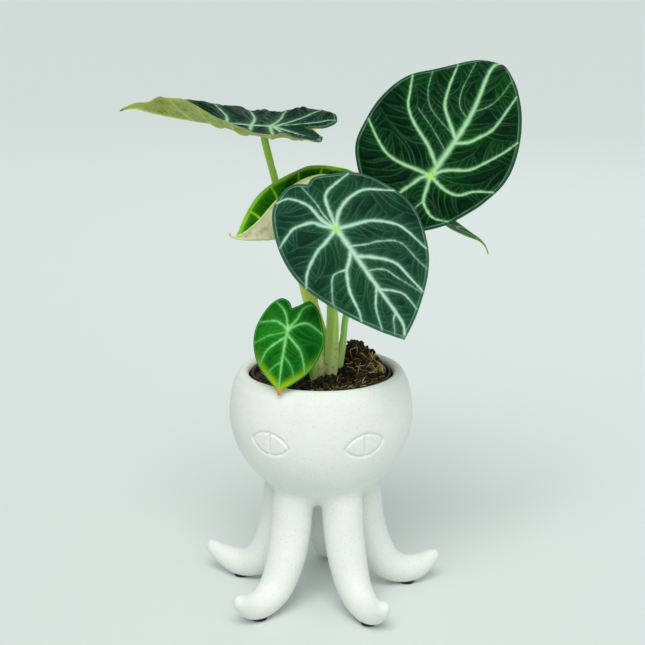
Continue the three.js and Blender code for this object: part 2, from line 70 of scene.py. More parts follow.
# ---- sizes of the planter, as in the part ----
BOWL_R = 50
WALL = 5
LIP = 2.9
LIP_R = 42.2
LIP_Z = RIM_Z - LIP
LIP_INSET = 3.4
BOWL_Z = LIP_Z - math.sqrt((BOWL_R - LIP_INSET) ** 2 - LIP_R**2)
SHANK_FROM = BOWL_Z - BOWL_R
LEG_COUNT = 5
LEG_TURN = -5.7
LEG_SECTOR = 65  # a leg changes nothing further than this from its own direction
# A leg's centre line, as (distance from the axis, height, radius). The shank's heights are from the
# bowl's lowest point, the foot's from the floor.
SHANK = [
    (20, 4.6, 11.5), (22.5, 2.1, 11.2), (24.1, -10.9, 11), (26.6, -22.9, 10.7), (30.7, -33.9, 10.2),
]
FOOT = [
    (37, 14.2, 9.3), (46, 9, 8.1), (54, 8.7, 7.2), (60.5, 11.3, 5.6), (65, 14.7, 3.9), (67, 16.6, 1.5),
]
SHANK_TO_BOWL = 4.5  # how wide the blend between them is
TOE_REACH = [0, 0, 0, 3.5, 0]
SOLE_Z = 1.2
UNEVEN, UNEVEN_SIZE = 0.12, 17
PAD_R = 4
PAD_DISTANCE = 50.3
EYE_TURN, EYE_SPREAD, EYE_CENTRE, EYE_TILT = -2.7, 30.8, -7.6, 5
EYE_HALF_WIDTH, EYE_HALF_HEIGHT = 11.4, 6.3
GROOVE_WIDTH, GROOVE_DEPTH = 0.75, 0.95
MESH_SIZE = 1.05
FINE_NEAR_GROOVE = 2.1  # nearer to the eyes' lines than this, the mesh is finer

# ---- the soil and the pot ----
SOIL_Z = RIM_Z - 5.1
SOIL_SLOPE = 0.075
SOIL_BANK = 2.6
MOUND = dict(x=21, y=18, height=15.5, spread=10.5)
CROWN = dict(x=2, y=-1, height=2.6, spread=9)
LUMPS = ((7, 0.7, 11), (3.2, 0.75, 12), (1.5, 0.45, 13), (0.7, 0.2, 14))  # size, height, seed
POT_BOTTOM_R = 29
POT_WALL = 0.8
POT_BEAD = 0.75
FLANGE, FLANGE_HEIGHT = 0.6, 3

# ---- leaves, as in the part ----
# attach is where the stalk meets the blade and stalk is its (x, y, z, radius), with heights above the
# soil's level. left and right are the flat blade's margins from the notch to the tip, as (u, v) mm ahead
# of that place and out from the midrib. The last tail mm of the midrib turn by curl, the rest by bend.
# fold turns each half at the midrib, cup turns it evenly across, and tip_fold and lobe_fold add to the
# fold towards the ends.
BLADE_HALF = 0.36  # half of the thickness
RUFFLE = {"left": (0.9, 7), "curled": (0.5, 9)}  # height and size of the margin's waves
FLAT = (0, 0)
BACK_HALF = [(-9, 0), (-15, 4), (-17, 10), (-14, 17), (-5, 21), (5, 21.5), (16, 18.5), (26.5, 10),
             (34.5, 4), (41, 1.5), (49, 0)]
LEAVES = {
    "left": dict(
        attach=(-25.5, 14, 134.8), heading=179.4, rise=2, roll=2.3, bend=-11, lobe_bend=6,
        tail=12, curl=37, fold=(-19, 6), cup=(40, 0), tip_fold=(94, 55), lobe_fold=(0, 13),
        left=[(-19, 0), (-25, 6), (-27, 14), (-24, 28), (-13, 40), (2, 44.5), (17, 43), (35, 36),
              (50, 25.5), (61, 15), (69, 6), (82.5, 0)],
        right=[(-19, 0), (-29, 5), (-33.5, 14.5), (-30, 27), (-17, 36.5), (0, 39.5), (17, 37.5),
               (35, 29), (50, 18), (61, 8.5), (71, 2.5), (82.5, 0)],
        at=4.5, approach=6,
        stalk=[(1, -1.5, 1, 4.2), (0.6, -1.5, 8.5, 5.2), (-0.8, -0.5, 20.5, 4.9), (-4, 2, 34.5, 4),
               (-9, 5, 51.5, 3.1), (-17.2, 10, 79, 2.3), (-24.5, 14, 105.5, 2)],
    ),
    "right": dict(
        attach=(58.1, 5, 109.8), heading=43.6, rise=48, roll=30.5, bend=5, lobe_bend=-4,
        tail=24, curl=80, fold=(1, 0.5), cup=(5, 5), tip_fold=FLAT, lobe_fold=FLAT,
        left=[(-25.5, 0), (-32.5, 8), (-30.5, 17.5), (-21.5, 29.5), (-4, 43.5), (13.5, 46.5),
              (31, 45.5), (47, 39.5), (60.5, 26.5), (74.5, 12), (84, 4), (92, 0)],
        right=[(-25.5, 0), (-32.5, 7), (-29.5, 13), (-19.5, 23), (-2, 33), (15.5, 37.5), (35, 34.5),
               (53, 27), (66.5, 18), (76.5, 9), (85, 3), (92, 0)],
        stalk=[(9.5, 1, 1.5, 1.8), (9.8, 0.5, 8.5, 2.4), (11.2, 0, 16.5, 2.1), (12, 0, 22.5, 1.8),
               (13.2, 0.5, 33.5, 1.7), (17, 3, 50.5, 1.7), (25, 7, 68.5, 1.7), (37, 11, 86.5, 1.8),
               (49, 12.5, 100, 1.8)],
    ),
    "front": dict(
        attach=(7.8, -35, 89.3), heading=-36.6, rise=-49.4, roll=35.4, bend=6, lobe_bend=4,
        tail=1, curl=0, fold=(-1, -2.5), cup=(-6.5, -9), tip_fold=FLAT, lobe_fold=(0, 2),
        left=[(-28, 0), (-30, 5), (-27.5, 13.5), (-21.5, 27), (-8, 38), (10, 43.5), (29.5, 38.5),
              (44, 29), (57, 14.5), (63, 6), (66.5, 0)],
        right=[(-28, 0), (-31.5, 6), (-30.5, 14), (-23.5, 24), (-8, 30.5), (8, 32), (23.5, 28.5),
               (41, 19.5), (55, 10), (62, 4), (66.5, 0)],
        stalk=[(5.2, -3.5, 1, 3), (5.4, -4, 8.5, 3.8), (5.8, -5.5, 20.5, 3.5), (6, -8, 37.5, 3),
               (5.5, -14, 59.5, 2.4), (5.5, -22, 77.5, 2.1)],
    ),
    "curled": dict(
        attach=(0.2, 12, 80.5), heading=228, rise=-4, roll=-12, bend=-17, lobe_bend=0,
        tail=6, curl=-69, fold=(65, 52), cup=(57, 50), tip_fold=(28, -59), lobe_fold=(0, 18),
        left=[(-15, 0), (-24, 5), (-26, 12.5), (-23, 22), (-10, 28.5), (6, 32.5), (23, 30.5),
              (39, 23), (52, 12.5), (61.5, 4.7), (68, 1.3), (75, 0)],
        right=[(-15, 0), (-25, 5.5), (-28.5, 14.5), (-25, 26), (-11, 32.5), (6, 36), (23, 32.5),
               (39, 25), (52, 13.5), (61.5, 5), (68, 1.3), (75, 0)],
        stalk=[(0, 5, 2.5, 2), (-0.6, 6.5, 14.5, 2), (-3.6, 9.2, 39.5, 1.9), (-3, 11.5, 62.5, 1.8)],
    ),
    "back": dict(
        attach=(54.6, 34, 85.5), heading=10, rise=-26.5, roll=6.5, bend=0, lobe_bend=4,
        tail=13, curl=53, fold=(3.5, 8), cup=(7, 0), tip_fold=(10, -27), lobe_fold=FLAT,
        left=BACK_HALF, right=BACK_HALF,
        stalk=[(5, 4, 2.5, 1.7), (5.2, 5, 14.5, 1.8), (6.6, 8.5, 34.5, 1.7), (17, 17, 56.5, 1.6),
               (37, 28, 73.5, 1.6)],
    ),
    "young": dict(
        attach=(-17, -34, 36.4), heading=-116, rise=-66.7, roll=-9, bend=10, lobe_bend=8,
        tail=4, curl=14, fold=(5, 3.5), cup=(-10, -10.5), tip_fold=(-3, 4), lobe_fold=FLAT,
        left=[(-11, 0), (-13.5, 4.5), (-16, 9), (-11.5, 14.5), (-4, 18), (4, 20.5), (12.5, 19),
              (21, 14.5), (28, 7), (31.5, 2.5), (35, 0)],
        right=[(-11, 0), (-14.5, 2.5), (-15.5, 7), (-11.5, 12), (-4, 16), (4, 18), (12.5, 17),
               (21, 13), (28, 6), (31.5, 2), (35, 0)],
        approach=3.5,
        stalk=[(-3.4, -8.2, -2, 1.6), (-4.4, -9.4, 5.5, 2.1), (-6.8, -13, 13.5, 1.8),
               (-11, -20, 24, 1.5)],
    ),
}

# Veins on the flat blade, as (u, v) points from the stalk outwards, with the width at both ends.
MAIN, SIDE, LAST, THIN, FAINT = (3.6, 1.2), (2.4, 0.8), (1.4, 0.6), (0.9, 0.4), (0.5, 0.3)
YOUNG_MAIN, YOUNG_SIDE, YOUNG_THIN = (1.9, 0.5), (1.3, 0.5), (0.6, 0.3)
VEIN_STEP = 0.3
WIDE_FROM = 1  # veins that start wider than this are measured apart from the thinner ones
MARGIN_GAP = 1.3
# Usual side veins: percent of the way round the margin, and share of the midrib where they leave it.
SIDE_PAIRS = ((14, 0), (26, 0), (39, 0.02), (52, 0.14), (65, 0.3), (78, 0.48))
VEINS = {
    "front": [
        (MAIN, [(0, 0), (18, 1), (35, 2), (52, 3.5), (60, 3.5), (66.5, 0)]),
        (SIDE, [(0, 0), (-7.5, 1.5), (-13, 2.5), (-18, 4.5), (-20.5, 8.5), (-22.5, 18)]),
        (SIDE, [(0, 0), (-6.5, 5), (-10.5, 12), (-12, 19), (-11.5, 25.5), (-5.5, 36.5)]),
        (SIDE, [(0, 0), (2, 8), (3, 13), (5, 19.5), (12, 29), (18, 32.5), (27.5, 35.5)]),
        (THIN, [(11, 0.6), (14.5, 9.5), (16, 16), (21.5, 25.5), (32.5, 28.5), (37.5, 30)]),
        (SIDE, [(17.5, 1), (21.5, 8), (29.5, 17), (40, 20), (49, 22)]),
        (THIN, [(26.5, 1.5), (28.5, 7.5), (31.5, 11.5), (36, 13.5), (44, 18)]),
        (LAST, [(38, 2.3), (42, 8.5), (46.5, 12.5), (55, 14)]),
        (SIDE, [(0, 0), (-7.5, -4), (-13.5, -5), (-19, -6.5), (-26, -12.5), (-27, -19)]),
        (THIN, [(0, 0), (-10, -1.8), (-16, -1.7), (-22, -2.5)]),
        (SIDE, [(0, 0), (-5.5, -6), (-9, -9), (-11, -18), (-10, -22), (-6.5, -29)]),
        (SIDE, [(0, 0), (4, -10), (5.5, -15), (12, -24.5), (19, -29.5)]),
        (SIDE, [(13, 0.7), (18.5, -4), (22, -7.5), (32, -11.5), (42, -12.5), (47, -14)]),
        (THIN, [(21, -7), (20, -13), (22.5, -16.5), (33, -22), (37, -22)]),
        ((1.3, 0.6), [(36, 2), (41.5, -2), (46, -4.5), (55, -7)]),
        (THIN, [(52.5, 3.5), (54, 1), (59, -1.5)]),
    ],
    "right": [
        ((4.2, 1.3), [(0, 0), (11, -1), (22.5, -2), (37, -2.5), (47, -2), (58, -0.5), (67.5, 1),
                      (77.5, 1.5), (92, 0)]),
        (SIDE, [(22.5, -2), (26.5, -9), (32, -13), (37.5, -16.5), (45.5, -18), (61, -19)]),
        (SIDE, [(0, 0), (5.5, -4.5), (8.5, -10), (11.5, -16.5), (17.5, -21.5), (28.5, -28.5),
                (35.5, -32)]),
        (SIDE, [(0, 0), (-3.5, -8.5), (-4.5, -14.5), (-3.5, -19.5), (1.5, -25), (5, -34)]),
        (SIDE, [(0, 0), (-9.5, -2), (-15, -3.5), (-19, -8), (-21.5, -13), (-20, -21)]),
        (THIN, [(-15, -3.5), (-20, -1.5), (-26, -2)]),
        (SIDE, [(25, -2), (31, 4), (36.5, 9.5), (42, 13.5), (53.5, 16.5), (67, 18.5)]),
        (SIDE, [(6, -0.5), (14, 8), (18.5, 14.5), (23, 21.5), (27.5, 27), (32.5, 31), (39.5, 33.5),
                (49, 37)]),
        (SIDE, [(0, 0), (0, 9), (-0.5, 15.5), (0, 22.5), (2, 29), (7, 36.5), (14, 45)]),
        (SIDE, [(0, 0), (-3, 4), (-8.5, 6.5), (-15, 9.5), (-25, 13)]),
        (FAINT, [(15.5, -1.5), (24.5, 11), (29, 18.5)]),
        (FAINT, [(27, 0.5), (30.5, 9), (34, 16), (38.5, 21.5), (46.5, 26), (56, 28.5)]),
        (FAINT, [(38.5, -2.5), (44, 5.5), (53, 9), (64, 10)]),
        (FAINT, [(44, -2), (50, -8), (58, -11), (68, -12)]),
    ],
    "young": [
        (YOUNG_MAIN, [(0, 0), (16.5, -0.4), (35, 0)]),
        (YOUNG_SIDE, [(0, 0), (-1.5, 3), (-3.5, 6.5), (-4, 10.5), (-2.5, 14), (0.5, 19)]),
        (YOUNG_SIDE, [(2.5, 0), (4.5, 2), (9.5, 8), (13, 10), (16.5, 11.5), (22, 12.5)]),
        (YOUNG_SIDE, [(0, 0), (-5.5, 4), (-9, 5), (-12, 6.5), (-14, 10)]),
        (YOUNG_SIDE, [(0, 0), (-6, -2), (-9.5, -4), (-12.5, -8)]),
        (YOUNG_SIDE, [(0, 0), (-3, -6), (-3, -9), (-1.5, -15)]),
        (YOUNG_SIDE, [(4, 0), (8.5, -5.5), (11.5, -8.5), (15, -10.5), (21, -12)]),
        (YOUNG_THIN, [(1.5, 0), (4, -7), (5, -10), (8.5, -15)]),
        (YOUNG_THIN, [(17, 0), (20, -4), (25, -7.5)]),
        (YOUNG_THIN, [(14, 0), (19, 5), (25, 7.5)]),
    ],
}


# ---- small tools ----
def smooth_min(a, b, width):
    share = np.maximum(width - np.abs(a - b), 0) / width
    return np.minimum(a, b) - share * share * width / 4


def smooth_max(a, b, width):
    return -smooth_min(-a, -b, width)


def smooth_step(low, high, value):
    share = np.clip((value - low) / (high - low), 0, 1)
    return share * share * (3 - 2 * share)


def bell(distance, width, power=2):
    return np.exp(-((distance / width) ** power))


def value_noise(points, size, seed):
    """Smooth random values from -1 to 1 at 3-D points, with features of that size."""
    scaled = np.asarray(points, float) / size
    cell = np.floor(scaled).astype(np.int64)
    part = scaled - cell
    ease = part**3 * (part * (part * 6 - 15) + 10)
    total = np.zeros(len(scaled))
    for corner in itertools.product((0, 1), repeat=3):
        at = cell + corner
        mixed = at[:, 0] * 73856093 ^ at[:, 1] * 19349663 ^ at[:, 2] * 83492791 ^ (seed * 7919)
        mixed = (mixed ^ (mixed >> 13)) * 1274126177
        random = ((mixed ^ (mixed >> 16)) & 0xFFFF) / 0x7FFF - 1
        total += random * np.prod(np.where(corner, ease, 1 - ease), axis=1)
    return total


def smooth_curve(points, count):
    """Points at even shares of a Catmull-Rom curve through the given points, whatever they hold."""
    p = np.asarray(points, float)
    p = np.vstack([2 * p[0] - p[1], p, 2 * p[-1] - p[-2]])
    t = np.linspace(0, len(p) - 3, count)
    k = np.minimum(t.astype(int), len(p) - 4)
    f = (t - k)[:, None]
    a, b, c, d = p[k], p[k + 1], p[k + 2], p[k + 3]
    return b + 0.5 * f * (c - a + f * (2 * a - 5 * b + 4 * c - d + f * (3 * (b - c) + d - a)))


def even_curve(points, count):
    """As smooth_curve, at even lengths along it."""
    fine = smooth_curve(points, 60 * len(points))
    reach = np.concatenate([[0], np.cumsum(np.linalg.norm(np.diff(fine[:, :3], axis=0), axis=1))])
    steps = np.linspace(0, reach[-1], count)
    return np.stack([np.interp(steps, reach, fine[:, i]) for i in range(fine.shape[1])], 1)


def grid_faces(rows, columns, joined=False):
    """Quads between rows of points; joined closes each row on itself."""
    index = np.arange(rows * columns).reshape(rows, columns)
    if joined:
        index = np.hstack([index, index[:, :1]])
    corners = [index[:-1, :-1], index[:-1, 1:], index[1:, 1:], index[1:, :-1]]
    return np.stack(corners, -1).reshape(-1, 4)


def add_object(name, data):
    obj = bpy.data.objects.new(name, data)
    bpy.context.scene.collection.objects.link(obj)
    return obj


def add_mesh(name, points, faces):
    mesh = bpy.data.meshes.new(name)
    faces = [tuple(face) for face in faces]
    mesh.from_pydata(((np.asarray(points) + AXIS) * MM).tolist(), [], faces)
    mesh.polygons.foreach_set("use_smooth", [True] * len(mesh.polygons))
    mesh.update()
    return add_object(name, mesh)


def taken(edit):
    """The points and faces of a mesh being edited, which is then let go."""
    edit.verts.index_update()
    points = np.array([v.co for v in edit.verts])
    faces = [[v.index for v in face.verts] for face in edit.faces]
    edit.free()
    return points, faces


def set_values(obj, name, values, kind="FLOAT", field="value"):
    """Stores a value, or a vector, for each point under a name that materials read."""
    attribute = obj.data.attributes.new(name, kind, "POINT")
    attribute.data.foreach_set(field, np.asarray(values, np.float32).ravel())


def finish_piece(obj, slot, material, *nodes):
    obj.data.materials.append(material)
    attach(obj, "root")
    if nodes:
        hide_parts(*nodes)


def flat_points(x, y):
    return np.stack([x, y, np.zeros_like(x)], -1)


def around(radius, angle, height):
    """Points at those distances and angles from the axis, and at those heights."""
    flat = [radius * np.cos(angle), radius * np.sin(angle)]
    return np.stack(np.broadcast_arrays(*flat, height), -1)


def all_round(count):
    return np.linspace(0, 2 * math.pi, count, endpoint=False)


def arc(r, z, radius, start, end, count):
    """Points of a profile along an arc round (r, z)."""
    angles = np.radians(np.linspace(start, end, count))
    return [(r + radius * math.cos(a), z + radius * math.sin(a)) for a in angles]


def tube(line, sides, shape=None):
    """Points and capped faces round a line of [x, y, z, radius]; shape(angle, share) scales a ring."""
    line = np.asarray(line, float)
    along = np.gradient(line[:, :3], axis=0)
    along /= np.linalg.norm(along, axis=1)[:, None]
    side = np.cross(along[0], [0.3, 1, 0.2])
    angle = all_round(sides)
    rings = []
    for i, (point, direction) in enumerate(zip(line, along)):
        side = side - direction * (side @ direction)
        side /= np.linalg.norm(side)
        other = np.cross(direction, side)
        scale = 1 if shape is None else shape(angle, i / (len(line) - 1))
        reach = (point[3] * scale * np.ones(sides))[:, None]
        ring = np.cos(angle)[:, None] * side + np.sin(angle)[:, None] * other
        rings.append(point[:3] + reach * ring)
    faces = [tuple(face) for face in grid_faces(len(line), sides, joined=True)]
    last = (len(line) - 1) * sides
    faces.append(tuple(range(sides))[::-1])
    faces.append(tuple(range(last, last + sides)))
    return np.vstack(rings), faces


def lathe(profile, sides):
    """Points and faces of a (radius, height) profile turned about the axis."""
    rings = [around(r, all_round(sides), z) for r, z in profile]
    return np.vstack(rings), grid_faces(len(profile), sides, joined=True).tolist()


def joined(parts):
    """One set of points and faces from several."""
    points, faces, start = [], [], 0
    for part_points, part_faces in parts:
        points.append(part_points)
        faces.extend(tuple(int(k) + start for k in face) for face in part_faces)
        start += len(part_points)
    return np.vstack(points), faces


# ---- materials ----
# Noise scales are per metre, or per millimetre on a blade's flat map. Bump distances are metres.
def colour(code):
    """A linear colour from a web colour code."""
    parts = [int(code[i : i + 2], 16) / 255 for i in (1, 3, 5)]
    linear = [p / 12.92 if p < 0.04045 else ((p + 0.055) / 1.055) ** 2.4 for p in parts]
    return (*linear, 1)


class Material:
    """A Principled material and short ways to add nodes to it."""

    def __init__(self, name, **constants):
        self.material = bpy.data.materials.new(name)
        self.material.use_nodes = True
        self.tree = self.material.node_tree
        self.shader = self.tree.nodes["Principled BSDF"]
        for key, value in constants.items():
            self.fill(self.shader.inputs[key.replace("_", " ")], value)

    def fill(self, socket, value):
        """Links a socket to another, or gives it a constant or a web colour code's colour."""
        if isinstance(value, bpy.types.NodeSocket):
            self.tree.links.new(value, socket)
        else:
            socket.default_value = colour(value) if isinstance(value, str) else value

    def add(self, kind, inputs, **settings):
        made = self.tree.nodes.new(kind)
        for key, value in settings.items():
            setattr(made, key, value)
        for key, value in inputs.items():
            self.fill(made.inputs[key], value)
        return made

    def place(self):
        return self.add("ShaderNodeTexCoord", {}).outputs["Object"]

    def value(self, name, factor=None):
        """What set_values() stored under that name, times the factor if there is one."""
        found = self.add("ShaderNodeAttribute", {}, attribute_name=name).outputs["Fac"]
        return found if factor is None else self.math("MULTIPLY", found, factor)

    def vector(self, name):
        return self.add("ShaderNodeAttribute", {}, attribute_name=name).outputs["Vector"]

    def noise(self, where, size, detail=3.0, roughness=0.5):
        inputs = {"Vector": where, "Scale": size, "Detail": detail, "Roughness": roughness}
        return self.add("ShaderNodeTexNoise", inputs).outputs[0]

    def cells(self, where, size, feature="F1"):
        inputs = {"Vector": where, "Scale": size}
        return self.add("ShaderNodeTexVoronoi", inputs, feature=feature)

    def math(self, operation, first, second=0.0):
        return self.add("ShaderNodeMath", {0: first, 1: second}, operation=operation).outputs[0]

    def ramp(self, value, low, high, to_low=0.0, to_high=1.0):
        inputs = {0: value, 1: low, 2: high, 3: to_low, 4: to_high}
        made = self.add("ShaderNodeMapRange", inputs, interpolation_type="SMOOTHSTEP")
        return made.outputs[0]

    def mix(self, share, first, second):
        return self.add("ShaderNodeMix", {0: share, 6: first, 7: second}, data_type="RGBA").outputs[2]

    def bump(self, height, strength, distance, under=None):
        inputs = {"Height": height, "Strength": strength, "Distance": distance}
        if under is not None:
            inputs["Normal"] = under
        return self.add("ShaderNodeBump", inputs).outputs[0]

    def layers(self, body, tints, *shares):
        """A colour with tints laid over it, each with its own share."""
        for tint, share in shares:
            body = self.mix(share, body, tints[tint])
        return body

    def link(self, socket, name):
        self.tree.links.new(socket, self.shader.inputs[name])

    def finish(self, base, normal):
        self.link(base, "Base Color")
        self.link(normal, "Normal")
        return self.material


def stoneware():
    made = Material("stoneware", Roughness=0.62, IOR=1.45)
    where = made.place()
    cloud = made.noise(where, 28, 2.0)
    base = made.mix(made.ramp(cloud, 0.35, 0.7), "#ebede6", "#e4e7df")
    for size, rare, tint in ((900, 0.59, "#bda396"), (1500, 0.57, "#b3a28f")):
        cells = made.cells(where, size)
        chosen = made.math("GREATER_THAN", made.noise(cells.outputs["Position"], 900, 0.0), rare)
        dot = made.ramp(cells.outputs["Distance"], 0.12, 0.34, 0.36, 0.0)
        base = made.mix(made.math("MULTIPLY", dot, chosen), base, tint)
    grain = made.noise(where, 2200, 3.0, 0.6)
    soft = made.bump(made.noise(where, 160, 2.0), 0.25, 0.0006)
    return made.finish(base, made.bump(grain, 0.22, 0.00025, soft))


def felt():
    made = Material("felt", Roughness=0.95, Sheen_Weight=0.3)
    fibres = made.noise(made.place(), 1800, 4.0, 0.7)
    base = made.mix(made.ramp(fibres, 0.35, 0.7), "#121214", "#2b2b2e")
    return made.finish(base, made.bump(fibres, 0.8, 0.0004))


def pot_plastic():
    made = Material("pot_plastic", Specular_IOR_Level=0.2)
    where = made.place()
    scuffs = made.noise(where, 120, 5.0, 0.7)
    plain = made.mix(made.ramp(scuffs, 0.4, 0.75), "#0c0f11", "#20282c")
    dust = made.ramp(made.noise(where, 420, 5.0, 0.7), 0.38, 0.54, 0.0, 0.9)
    made.link(made.ramp(scuffs, 0.3, 0.8, 0.5, 0.75), "Roughness")
    fine = made.bump(made.noise(where, 900, 2.0), 0.2, 0.0002)
    return made.finish(made.mix(dust, plain, "#3d2e1e"), fine)


def soil_material():
    made = Material("soil", Roughness=0.95, Specular_IOR_Level=0.25)
    where = made.place()
    clumps = made.noise(where, 260, 6.0, 0.65)
    base = made.mix(made.ramp(clumps, 0.35, 0.68), "#0d0a08", "#3a2e20")
    chips = made.cells(where, 620)
    pale = made.math("GREATER_THAN", made.noise(chips.outputs["Position"], 700, 0.0), 0.63)
    base = made.mix(made.math("MULTIPLY", pale, 0.7), base, "#6a5538")
    return made.finish(base, made.bump(made.noise(where, 1500, 5.0, 0.7), 0.9, 0.0007))


def toned(name, dark, light, rough, bump_size, bump_depth):
    """A material between two colours by the tone stored for each point."""
    made = Material(name, Roughness=rough, Specular_IOR_Level=0.3)
    grain = made.noise(made.place(), bump_size, 4.0, 0.65)
    share = made.math("ADD", made.value("tone"), made.ramp(grain, 0.3, 0.7, -0.2, 0.2))
    base = made.mix(made.ramp(share, 0.0, 1.0), dark, light)
    return made.finish(base, made.bump(grain, 0.7, bump_depth))


def stalk_material(name, base, middle, top, spots):
    made = Material(name, Roughness=0.38, Subsurface_Weight=0.12, Subsurface_Scale=0.003,
                    Subsurface_Radius=(0.6, 1.0, 0.3))
    where = made.place()
    share = made.value("share")
    body = made.mix(made.ramp(share, 0.0, 0.28), base, middle)
    body = made.mix(made.ramp(share, 0.3, 0.85), body, top)
    stretched = made.add("ShaderNodeMapping", {"Vector": where, "Scale": (1, 1, 0.08)}).outputs[0]
    streak = made.noise(stretched, 1400, 3.0)
    body = made.mix(made.ramp(streak, 0.4, 0.75, 0.0, 0.22), body, base)
    if spots:
        blots = made.ramp(made.noise(where, 420, 3.0, 0.6), 0.56, 0.68, 0.0, 0.8)
        low = made.ramp(share, 0.1, 0.5, 1.0, 0.0)
        body = made.mix(made.math("MULTIPLY", blots, low), body, "#d98a4a")
    return made.finish(body, made.bump(streak, 0.2, 0.0002))


def leaf_net(made, flat, strength):
    """The bump of the finest net of veins."""
    web = made.cells(flat, 0.75, "DISTANCE_TO_EDGE").outputs["Distance"]
    return made.bump(made.ramp(web, 0.0, 0.18), strength, 0.0003)


def leaf_top(name, tints, shine, rough):
    """The upper side: a quilted dark green with pale veins; tints are named in TOP_TINTS."""
    made = Material(name, Roughness=rough, Specular_IOR_Level=shine, Specular_Tint="#8fd8a4")
    flat = made.vector("flat")
    mottle = made.noise(flat, 0.13, 4.0, 0.6)
    patch = made.noise(flat, 0.045, 2.0, 0.5)
    grain = made.noise(flat, 2.2, 3.0, 0.7)
    valley = made.ramp(made.value("pillow"), 0.35, 1.0, 0.75, 0.0)
    share = made.math("ADD", valley, made.ramp(mottle, 0.35, 0.72, 0.0, 0.45))
    body = made.layers(
        made.mix(share, tints["deep"], tints["pale"]), tints,
        ("glow", made.ramp(patch, 0.5, 0.68, 0.0, 0.7)),
        ("halo", made.ramp(grain, 0.5, 0.8, 0.0, 0.08)),
        ("low", made.value("low", 0.8)),
        # edge: the margin's own colour; on the curled blade it is also painted light along its lit rim
        ("edge", made.ramp(made.value("edge"), 0.0, 1.0, 0.0, 0.75)),
        ("halo", made.value("halo", 0.6)),
        ("vein", made.value("minor", 0.13)),
        ("vein", made.value("vein")),
        ("tip", made.value("tip")),
        ("point", made.value("point")),
        ("heart", made.value("heart")),
    )
    return made.finish(body, made.bump(grain, 0.25, 0.0002, leaf_net(made, flat, 0.25)))


def leaf_under(name, tints):
    """The underside: a paler green with raised ribs; tints are named in UNDER_TINTS."""
    made = Material(name, Roughness=0.5, Subsurface_Weight=0.1, Subsurface_Scale=0.002)
    flat = made.vector("flat")
    mottle = made.noise(flat, 0.14, 5.0, 0.65)
    body = made.layers(
        made.mix(made.ramp(mottle, 0.42, 0.7), tints["body"], tints["shade"]), tints,
        ("edge", made.ramp(made.value("edge"), 0.0, 1.0, 0.0, 0.7)),
        ("rib", made.value("minor", 0.35)),
        ("rib", made.value("vein")),
        ("tip", made.value("tip")),
    )
    return made.finish(body, leaf_net(made, flat, 0.3))


# ---- the planter ----
def leg_azimuth(index):
    return math.radians(LEG_TURN + 360 / LEG_COUNT * (index + 0.5))


def leg_line(index):
    """The centre line in the leg's own upright plane: distance, height, radius."""
    shank = [(distance, z + SHANK_FROM, radius) for distance, z, radius in SHANK]
    line = shank + FOOT
    toe = len(line) - 4
    reach = [TOE_REACH[index] * min(1, max(0, (i - toe) / 2)) for i in range(len(line))]
    return [(distance + more, z, radius) for (distance, z, radius), more in zip(line, reach)]


def leg_distance(points, index):
    """Signed distance to one leg, a row of round cones."""
    azimuth = leg_azimuth(index)
    out = points[:, 0] * math.sin(azimuth) - points[:, 1] * math.cos(azimuth)
    across = points[:, 0] * math.cos(azimuth) + points[:, 1] * math.sin(azimuth)
    line = smooth_curve(leg_line(index), 46)
    best = np.full(len(points), 1e3)
    for (r0, z0, s0), (r1, z1, s1) in zip(line[:-1], line[1:]):
        dr, dz = r1 - r0, z1 - z0
        share = ((out - r0) * dr + (points[:, 2] - z0) * dz) / (dr * dr + dz * dz)
        share = np.clip(share, 0, 1)
        out_by, up_by = out - r0 - share * dr, points[:, 2] - z0 - share * dz
        apart = np.sqrt(out_by**2 + across**2 + up_by**2)
        best = np.minimum(best, apart - (s0 + share * (s1 - s0)))
    return best


def on_bowl(azimuth, elevation, radius):
    a, e = np.radians(azimuth), np.radians(elevation)
    level = radius * np.cos(e)
    return np.stack([level * np.sin(a), -level * np.cos(a), BOWL_Z + radius * np.sin(e)], -1)


def eye_lines(side):
    """Points along an eye's almond outline and its upright pupil slit; side is -1 left or 1 right."""
    per_degree = math.radians(1) * BOWL_R
    angle = all_round(240)
    wave = np.sin(angle)
    across = EYE_HALF_WIDTH * np.cos(angle)
    up = EYE_HALF_HEIGHT * np.sign(wave) * np.abs(wave) ** 1.5
    slit = np.linspace(-0.93, 0.93, 60) * EYE_HALF_HEIGHT
    across = np.concatenate([across, np.zeros(60)])
    up = np.concatenate([up, slit])
    tilt = math.radians(EYE_TILT) * side
    x = across * math.cos(tilt) - up * math.sin(tilt)
    z = across * math.sin(tilt) + up * math.cos(tilt)
    elevation = EYE_CENTRE + z / per_degree
    azimuth = EYE_TURN + side * EYE_SPREAD + x / per_degree / np.cos(np.radians(elevation))
    return on_bowl(azimuth, elevation, BOWL_R)


EYE_POINTS = np.vstack([eye_lines(-1), eye_lines(1)])


def groove_reach(points):
    """How far points near the face are from the engraved lines; the rest count as far away."""
    distance = np.full(len(points), 9.0)
    radius = np.linalg.norm(points - [0, 0, BOWL_Z], axis=1)
    face = (points[:, 1] < -20) & (np.abs(points[:, 2] - BOWL_Z + 7) < 14) & (radius > BOWL_R - 3)
    chosen = np.flatnonzero(face)
    for part in np.array_split(chosen, max(1, len(chosen) // 4000)):
        away = points[part] - [0, 0, BOWL_Z]
        on_sphere = away * (BOWL_R / np.linalg.norm(away, axis=1))[:, None] + [0, 0, BOWL_Z]
        distance[part] = np.linalg.norm(on_sphere[:, None] - EYE_POINTS[None], axis=2).min(1)
    return distance


